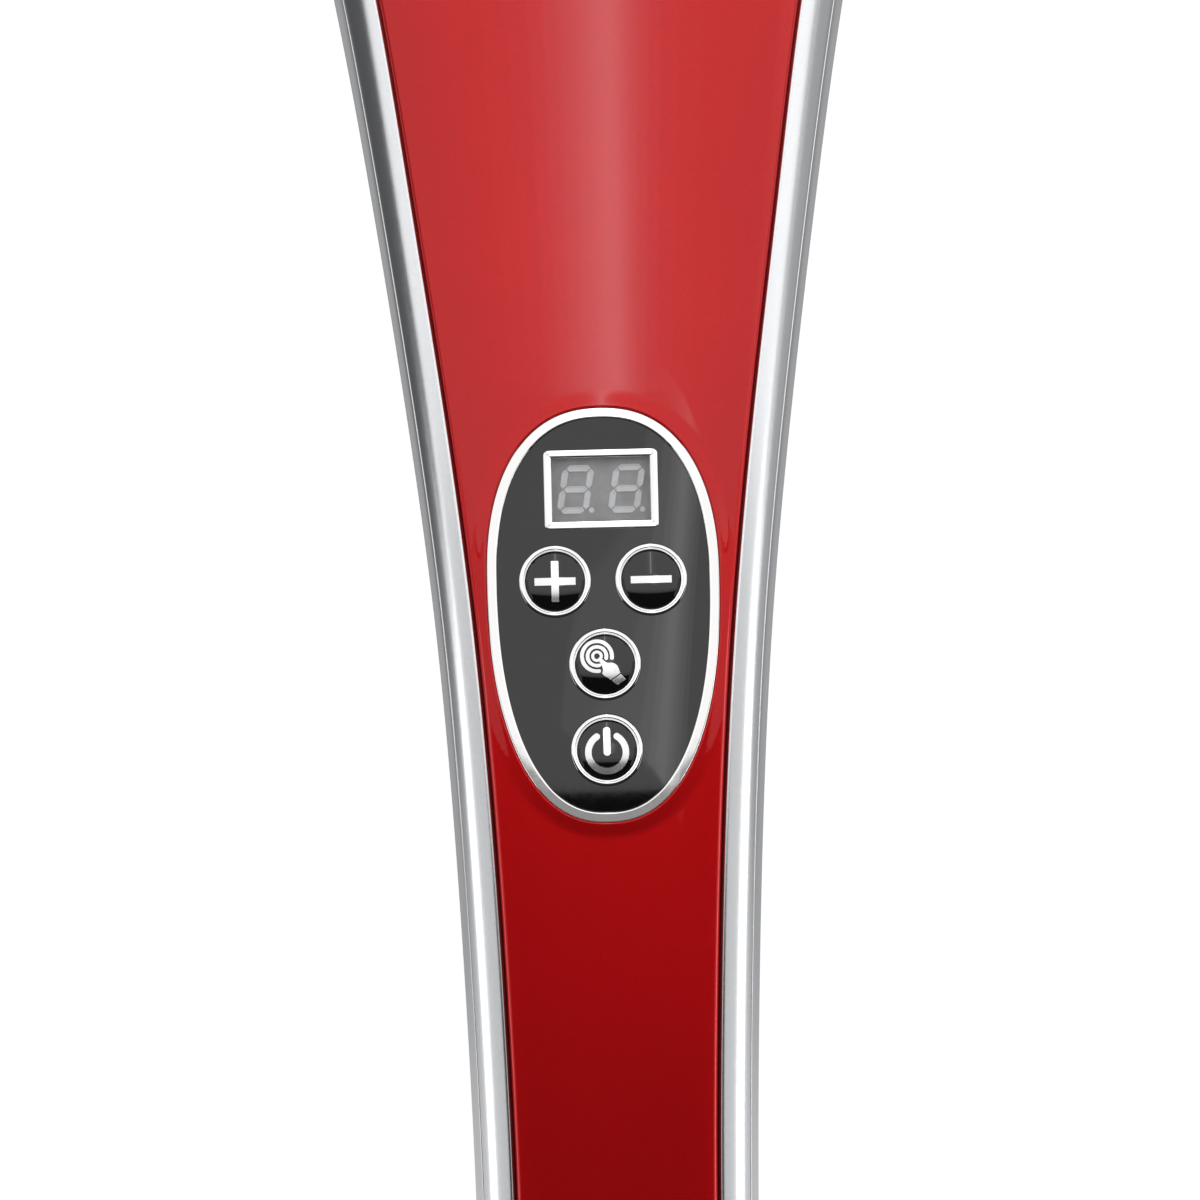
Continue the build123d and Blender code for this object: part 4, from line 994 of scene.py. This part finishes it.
def bump(t, src, strength, dist, prev=None):
    b = t.nodes.new("ShaderNodeBump")
    b.inputs["Strength"].default_value = strength
    b.inputs["Distance"].default_value = dist
    t.links.new(src, b.inputs["Height"])
    if prev is not None:
        t.links.new(prev, b.inputs["Normal"])
    return b.outputs["Normal"]


def finish_mat(name, base, rough, metal=0.0, var=0.06, var_scale=60.0, rvar=0.04, rscale=900.0, bscale=4000.0,
               bstr=0.12, bdist=0.00002, coat=0.0, coat_rough=0.03, spec=0.5, flakes=0.0, fscale=9000.0, sheen=0.0, ior=None):
    m, t, b, c = shader(name)
    n1 = noise(t, c, var_scale, 4.0)
    dark = tuple(max(0.0, q * (1 - var)) for q in base)
    light = tuple(min(1.0, q * (1 + var)) for q in base)
    col = tint(t, remap(t, n1.outputs["Fac"], 0, 1), dark, light)
    n2 = noise(t, c, rscale, 3.0)
    t.links.new(remap(t, n2.outputs["Fac"], max(0.0, rough - rvar), rough + rvar), b.inputs["Roughness"])
    n3 = noise(t, c, bscale, 2.0)
    nrm = bump(t, n3.outputs["Fac"], bstr, bdist)
    if flakes:
        v = t.nodes.new("ShaderNodeTexVoronoi")
        v.inputs["Scale"].default_value = fscale
        t.links.new(c.outputs["Object"], v.inputs["Vector"])
        sep = t.nodes.new("ShaderNodeSeparateColor")
        t.links.new(v.outputs["Color"], sep.inputs["Color"])
        mix = t.nodes.new("ShaderNodeMix")
        mix.data_type = "RGBA"
        mix.blend_type = "MULTIPLY"
        mix.inputs[0].default_value = 1.0
        t.links.new(col, mix.inputs[6])
        ramp = remap(t, sep.outputs["Red"], 1 - flakes, 1 + flakes, 0, 1)
        comb = t.nodes.new("ShaderNodeCombineColor")
        for k in range(3):
            t.links.new(ramp, comb.inputs[k])
        t.links.new(comb.outputs["Color"], mix.inputs[7])
        col = mix.outputs[2]
        nrm = bump(t, sep.outputs["Green"], flakes, 0.00001, nrm)
    t.links.new(col, b.inputs["Base Color"])
    t.links.new(nrm, b.inputs["Normal"])
    b.inputs["Metallic"].default_value = metal
    if ior:
        b.inputs["IOR"].default_value = ior
    b.inputs["Specular IOR Level"].default_value = spec
    if coat:
        b.inputs["Coat Weight"].default_value = coat
        b.inputs["Coat Roughness"].default_value = coat_rough
    if sheen:
        b.inputs["Sheen Weight"].default_value = sheen
        b.inputs["Sheen Roughness"].default_value = 0.4
    return m


def board_mat():
    m, t, b, c = shader("board_green")
    w = t.nodes.new("ShaderNodeTexBrick")
    w.inputs["Scale"].default_value = 420.0
    w.inputs["Color1"].default_value = (0.02, 0.16, 0.06, 1)
    w.inputs["Color2"].default_value = (0.03, 0.20, 0.08, 1)
    w.inputs["Mortar"].default_value = (0.05, 0.28, 0.12, 1)
    w.inputs["Mortar Size"].default_value = 0.03
    t.links.new(c.outputs["Object"], w.inputs["Vector"])
    t.links.new(w.outputs["Color"], b.inputs["Base Color"])
    n = noise(t, c, 500.0)
    t.links.new(remap(t, n.outputs["Fac"], 0.28, 0.42), b.inputs["Roughness"])
    return m


def glass_mat():
    m, t, b, c = shader("window_tint")
    n = noise(t, c, 260.0)
    t.links.new(tint(t, remap(t, n.outputs["Fac"], 0, 1), (0.90, 0.905, 0.91), (0.93, 0.935, 0.94)), b.inputs["Base Color"])
    t.links.new(remap(t, n.outputs["Fac"], 0.02, 0.05), b.inputs["Roughness"])
    b.inputs["Transmission Weight"].default_value = 1.0
    b.inputs["IOR"].default_value = 1.05
    b.inputs["Alpha"].default_value = 1.0
    return m


SLOT = {
    "red_gloss": finish_mat("red_lacquer", (0.62, 0.0052, 0.0070), 0.42, metal=0.6, var=0.03, var_scale=40, rvar=0.02,
                            bscale=2500, bstr=0.04, bdist=0.00001, coat=0.7, coat_rough=0.03, spec=0.05, flakes=0.06, fscale=7000),
    "silver_plastic": finish_mat("silver_paint", (0.80, 0.81, 0.83), 0.21, metal=0.95, var=0.012, var_scale=60, rvar=0.010,
                                 bscale=5000, bstr=0.02, bdist=0.00001, flakes=0.035, fscale=6000),
    "chrome_trim": finish_mat("chrome_plate", (0.90, 0.89, 0.88), 0.06, metal=1.0, var=0.01, rvar=0.02, rscale=700, bscale=900, bstr=0.03, bdist=0.00001),
    "black_gloss": finish_mat("piano_black", (0.003, 0.003, 0.0034), 0.035, var=0.2, rvar=0.01, bscale=1500, bstr=0.015, bdist=0.00001, ior=1.62),
    "smoked_window": glass_mat(),
    "display_grey": finish_mat("display_face", (0.50, 0.495, 0.50), 0.5, var=0.10, var_scale=500, bscale=5000, bstr=0.15),
    "segment_grey": finish_mat("segment_plastic", (0.95, 0.945, 0.95), 0.35, var=0.06, var_scale=900, bscale=5000, bstr=0.1),
    "silver_mark": finish_mat("silver_foil", (0.96, 0.96, 0.95), 0.20, metal=0.85, var=0.02, rvar=0.03, rscale=1500, bscale=3000, bstr=0.05),
    "black_plastic": finish_mat("black_moulding", (0.022, 0.022, 0.024), 0.48, var=0.1, bscale=2600, bstr=0.3, bdist=0.00004),
    "circuit_board": board_mat(),
    "component_black": finish_mat("component_body", (0.035, 0.035, 0.04), 0.42, var=0.2, var_scale=200, bscale=3000, bstr=0.2),
    "cell_wrap": finish_mat("cell_sleeve", (0.03, 0.14, 0.40), 0.25, var=0.1, var_scale=80, bscale=700, bstr=0.15, coat=0.4),
    "contact_brass": finish_mat("contact_metal", (0.78, 0.62, 0.33), 0.22, metal=1.0, var=0.05, bscale=3000, bstr=0.1),
    "zinc_steel": finish_mat("zinc_plate", (0.66, 0.66, 0.68), 0.28, metal=1.0, var=0.05, var_scale=300, rvar=0.06, bscale=3000, bstr=0.15),
    "ground_steel": finish_mat("ground_finish", (0.74, 0.74, 0.75), 0.18, metal=1.0, var=0.03, rvar=0.05, rscale=2500, bscale=5000, bstr=0.12),
    "magnet_grey": finish_mat("ferrite", (0.09, 0.09, 0.10), 0.55, var=0.2, var_scale=400, bscale=2500, bstr=0.3),
    "armature_steel": finish_mat("laminations", (0.33, 0.25, 0.17), 0.4, metal=0.6, var=0.15, var_scale=900, bscale=3000, bstr=0.2),
    "cast_zinc": finish_mat("zinc_casting", (0.62, 0.62, 0.63), 0.42, metal=0.95, var=0.06, var_scale=200, rvar=0.08, bscale=1800, bstr=0.3, bdist=0.00004),
    "die_cast": finish_mat("die_casting", (0.68, 0.68, 0.69), 0.40, metal=0.95, var=0.05, var_scale=160, rvar=0.08, bscale=1600, bstr=0.3, bdist=0.00004),
    "bronze": finish_mat("sintered_bronze", (0.62, 0.43, 0.22), 0.38, metal=1.0, var=0.08, var_scale=700, bscale=3500, bstr=0.3),
    "soft_rubber": finish_mat("pad_rubber", (0.022, 0.022, 0.024), 0.62, var=0.12, var_scale=120, rvar=0.08, bscale=2200, bstr=0.45, bdist=0.00005, sheen=0.15),
    "grip_rubber": finish_mat("grip_rubber", (0.034, 0.034, 0.036), 0.58, var=0.12, var_scale=120, rvar=0.08, bscale=1800, bstr=0.6, bdist=0.00006, sheen=0.15),
    "lead_insulation": finish_mat("lead_sleeve", (0.42, 0.03, 0.03), 0.4, var=0.08, bscale=1500, bstr=0.15),
}
# near-black with little specular: painted shade for the gap round the red panel
painted_shade_deck_mat = finish_mat("deck_painted_shade", (0.004, 0.004, 0.004), 0.8, var=0.1, bscale=2000, bstr=0.2, spec=0.1)


def dress(ob, slot_name, mat=None):
    mat = mat or SLOT[slot_name]
    if ob.material_slots:
        for ms in ob.material_slots:
            ms.material = mat
    else:
        ob.data.materials.append(mat)


record = frame["record"]
slot_of = {p["node"]: p["material_slot"] for p in record["subparts"]}
for node, ob in NODES.items():
    mat = SLOT[slot_of[node]]
    if ob.material_slots:
        for ms in ob.material_slots:
            ms.material = mat
    else:
        ob.data.materials.append(mat)
for ob, slot_name in ((red, "red_gloss"), (ring, "chrome_trim"), (fascia, "black_gloss"), (frame_piece, "chrome_trim"),
                      (rails, "silver_plastic"), (casing, "silver_plastic"), (grip, "grip_rubber")):
    dress(ob, slot_name)
dress(deck, "black_plastic", painted_shade_deck_mat)
for key, ob in pieces.items():
    dress(ob, "black_gloss")
for ob in key_rings:
    dress(ob, "chrome_trim")
for ob in mode_bits:
    dress(ob, "silver_mark")
dress(digits, "segment_grey")
for side in ("left", "right"):
    dress(bpy.data.objects[side + "_massage_pad"], "soft_rubber")

# ------------------------------------------------------------------ studio
def stage_plane(name, size, loc, rot=(0, 0, 0)):
    me = bpy.data.meshes.new(name)
    h = size / 2
    me.from_pydata([(-h, -h, 0), (h, -h, 0), (h, h, 0), (-h, h, 0)], [], [(0, 1, 2, 3)])
    ob = bpy.data.objects.new(name, me)
    bpy.context.scene.collection.objects.link(ob)
    ob.location = loc
    ob.rotation_euler = rot
    return ob


bpy.context.scene.view_settings.view_transform = "Standard"

floor = stage_plane("floor", 14.0, (0, 0, -0.0006))
fm = bpy.data.materials.new("floor_paper")
fm.use_nodes = True
ft = fm.node_tree
fb = ft.nodes["Principled BSDF"]
fb.inputs["Roughness"].default_value = 0.9
fb.inputs["Specular IOR Level"].default_value = 0.1
fb.inputs["Emission Color"].default_value = (1, 1, 1, 1)
fc = ft.nodes.new("ShaderNodeTexCoord")
fs = ft.nodes.new("ShaderNodeSeparateXYZ")
ft.links.new(fc.outputs["Object"], fs.inputs["Vector"])


def floor_math(op, a, b, c=None):
    n = ft.nodes.new("ShaderNodeMath")
    n.operation = op
    for k, q in enumerate((a, b, c)):
        if q is None:
            continue
        if isinstance(q, (int, float)):
            n.inputs[k].default_value = q
        else:
            ft.links.new(q, n.inputs[k])
    return n.outputs[0]


def floor_ramp(src, a, b, lo, hi):
    n = ft.nodes.new("ShaderNodeMapRange")
    n.interpolation_type = "SMOOTHSTEP"
    n.inputs["From Min"].default_value, n.inputs["From Max"].default_value = a, b
    n.inputs["To Min"].default_value, n.inputs["To Max"].default_value = lo, hi
    ft.links.new(src, n.inputs["Value"])
    return n.outputs["Result"]


# painted light: to rays other than camera rays the floor glows in painted patches beside the part, behind its tail and
# to its right; camera rays see an even emission of 0.82
side_way = floor_math("ABSOLUTE", fs.outputs["X"], 0.0)
near = floor_ramp(side_way, 0.085, 0.15, 0.34, 0.02)
tail_way = floor_ramp(fs.outputs["Y"], -0.16, 0.02, 0.62, 0.0)
right_way = floor_ramp(fs.outputs["X"], 0.10, 0.16, 0.0, 0.34)
painted_floor_glow = floor_math("MAXIMUM", floor_math("MAXIMUM", near, tail_way), right_way)
flp = ft.nodes.new("ShaderNodeLightPath")
fmx = ft.nodes.new("ShaderNodeMix")
fmx.data_type = "FLOAT"
ft.links.new(flp.outputs["Is Camera Ray"], fmx.inputs[0])
ft.links.new(painted_floor_glow, fmx.inputs[2])
fmx.inputs[3].default_value = 0.82
ft.links.new(fmx.outputs[0], fb.inputs["Emission Strength"])
# painted shade: to rays other than camera rays the floor is a dark sheet (0.10); to the camera it is pale (0.80)
fbc = ft.nodes.new("ShaderNodeMix")
fbc.data_type = "RGBA"
fbc.inputs[6].default_value = (0.10, 0.10, 0.10, 1)
fbc.inputs[7].default_value = (0.80, 0.80, 0.80, 1)
ft.links.new(flp.outputs["Is Camera Ray"], fbc.inputs[0])
ft.links.new(fbc.outputs[2], fb.inputs["Base Color"])
# the sheet has no underside, so the part can be looked at from below
fgeo = ft.nodes.new("ShaderNodeNewGeometry")
fclear = ft.nodes.new("ShaderNodeBsdfTransparent")
fpick = ft.nodes.new("ShaderNodeMixShader")
ft.links.new(fgeo.outputs["Backfacing"], fpick.inputs[0])
ft.links.new(fb.outputs[0], fpick.inputs[1])
ft.links.new(fclear.outputs[0], fpick.inputs[2])
ft.links.new(fpick.outputs[0], ft.nodes["Material Output"].inputs["Surface"])
floor.data.materials.append(fm)
floor_only = bpy.data.collections.new("floor_only")
floor_only.objects.link(floor)
for entry in floor_only.collection_objects:
    entry.light_linking.link_state = "EXCLUDE"

wd = bpy.data.worlds.new("studio")
bpy.context.scene.world = wd
wd.use_nodes = True
wt = wd.node_tree
bg = wt.nodes["Background"]
lp = wt.nodes.new("ShaderNodeLightPath")
mx = wt.nodes.new("ShaderNodeMix")
mx.data_type = "RGBA"
mx.inputs[6].default_value = (0.025, 0.025, 0.025, 1)
mx.inputs[7].default_value = (1.0, 1.0, 1.0, 1)
wt.links.new(lp.outputs["Is Camera Ray"], mx.inputs[0])
wt.links.new(mx.outputs[2], bg.inputs["Color"])


def softbox(name, loc, look, sx, sy, radiance, colour=(1, 1, 1), turn=0.0):
    """A rectangular area light of even brightness; radiance is what a mirror would show."""
    ld = bpy.data.lights.new(name, "AREA")
    ld.shape = "RECTANGLE"
    ld.size, ld.size_y = sx, sy
    ld.energy = radiance * math.pi * sx * sy
    ld.color = colour
    ob = bpy.data.objects.new(name, ld)
    bpy.context.scene.collection.objects.link(ob)
    z = (Vector(loc) - Vector(look)).normalized()
    y = Vector((0, 1, 0)) if abs(z.y) < 0.9 else Vector((0, 0, 1))
    x = y.cross(z).normalized()
    y = z.cross(x)
    m = Matrix((x, y, z)).transposed() @ Matrix.Rotation(turn, 3, "Z")
    ob.matrix_world = Matrix.Translation(Vector(loc)) @ m.to_4x4()
    ob.visible_camera = False
    return ob


def flat_box(name, x, y, z, sx, sy, radiance, turn=0.0, colour=(1, 1, 1)):
    return softbox(name, (x, y, z), (x, y, z - 1.0), sx, sy, radiance, colour, turn)


flat_box("key_softbox", 0.0, 0.50, 1.60, 2.6, 1.85, 1.05)
for k, (wdt, add) in enumerate(((0.008, 0.50), (0.016, 0.66), (0.028, 0.58), (0.046, 0.46), (0.075, 0.34), (0.12, 0.26), (0.22, 0.12), (0.40, 0.09))):
    flat_box("key_core_%d" % k, 0.008, 0.62, 1.595 - 0.002 * k, wdt, 1.25, add, colour=(1.0, 0.97, 1.04))
for k, wdt in enumerate((0.05, 0.10, 0.16, 0.24, 0.34)):
    flat_box("key_flank_%d" % k, 0.165, -0.22, 1.58 - 0.002 * k, wdt, 0.40, 0.23, turn=-0.35)
for side, sx, gain, tail, low, foot in (("left", -1, 1.0, 2.3, 0.0, 0.30), ("right", 1, 1.15, 3.3, 0.42, 0.22)):
    x = 1.30 * sx
    softbox(side + "_tail_box", (x, -0.62, 0.20), (0, -0.62, 0.20), 0.40, 0.95, tail)
    softbox(side + "_tail_upper", (x, -0.62, 1.00), (0, -0.62, 1.00), 1.18, 0.95, 0.62)
    softbox(side + "_head_box", (x, 0.38, (1.6 + foot) / 2), (0, 0.38, (1.6 + foot) / 2), 1.6 - foot, 1.02, 1.05 * gain)
    if low:
        softbox(side + "_head_low", (x, 0.38, foot / 2), (0, 0.38, foot / 2), foot - 0.01, 1.02, low)

for ob in bpy.data.objects:
    if ob.type == "LIGHT" and ob.name.startswith(("left_", "right_")):
        ob.light_linking.receiver_collection = floor_only

# a short shelf of light behind the tail edge of the key box, for the domed keys and their marks alone
keys_only = bpy.data.collections.new("keys_only")
for ob in list(pieces.values()) + mode_bits + [NODES[n] for n in ("plus_mark", "minus_mark", "power_mark")]:
    keys_only.objects.link(ob)
for k, (y0, y1, rad) in enumerate(((-0.66, -0.425, 1.0), (-0.76, -0.66, 0.8), (-0.82, -0.76, 0.5))):
    shelf = flat_box("key_shelf_%d" % k, 0.0, (y0 + y1) / 2, 1.60, 2.6, y1 - y0, rad)
    shelf.light_linking.receiver_collection = keys_only
# the dim room behind that edge, for the chrome ring of the panel alone
ring_only = bpy.data.collections.new("ring_only")
ring_only.objects.link(ring)
dim = flat_box("ring_shelf", 0.0, -1.0, 1.60, 2.6, 1.15, 0.27)
dim.light_linking.receiver_collection = ring_only

# ------------------------------------------------------------------ camera
DIST, FRAME_W = 1.0, 0.1846
cam_data = bpy.data.cameras.new("camera")
cam_data.sensor_width = 36.0
cam_data.lens = 36.0 * DIST / FRAME_W
cam = bpy.data.objects.new("camera", cam_data)
bpy.context.scene.collection.objects.link(cam)
ROLL = math.radians(1.34)
target = np.array([-0.55, S_MID + 2.3 * CT, float(back_z(S_MID)) + 2.3 * ST])
tm = Vector(((target[0]) * MM, (target[1] - Y_SHIFT) * MM, target[2] * MM))
nv, vv = Vector(N_AX), Vector(V_AX)
xv = Vector((1, 0, 0))
up = (vv * math.cos(ROLL) + xv * math.sin(ROLL)).normalized()
right = up.cross(nv).normalized()
rot = Matrix((right, up, nv)).transposed()
cam.matrix_world = Matrix.Translation(tm + nv * DIST) @ rot.to_4x4()
cam_data.clip_start, cam_data.clip_end = 0.05, 50
bpy.context.scene.camera = cam
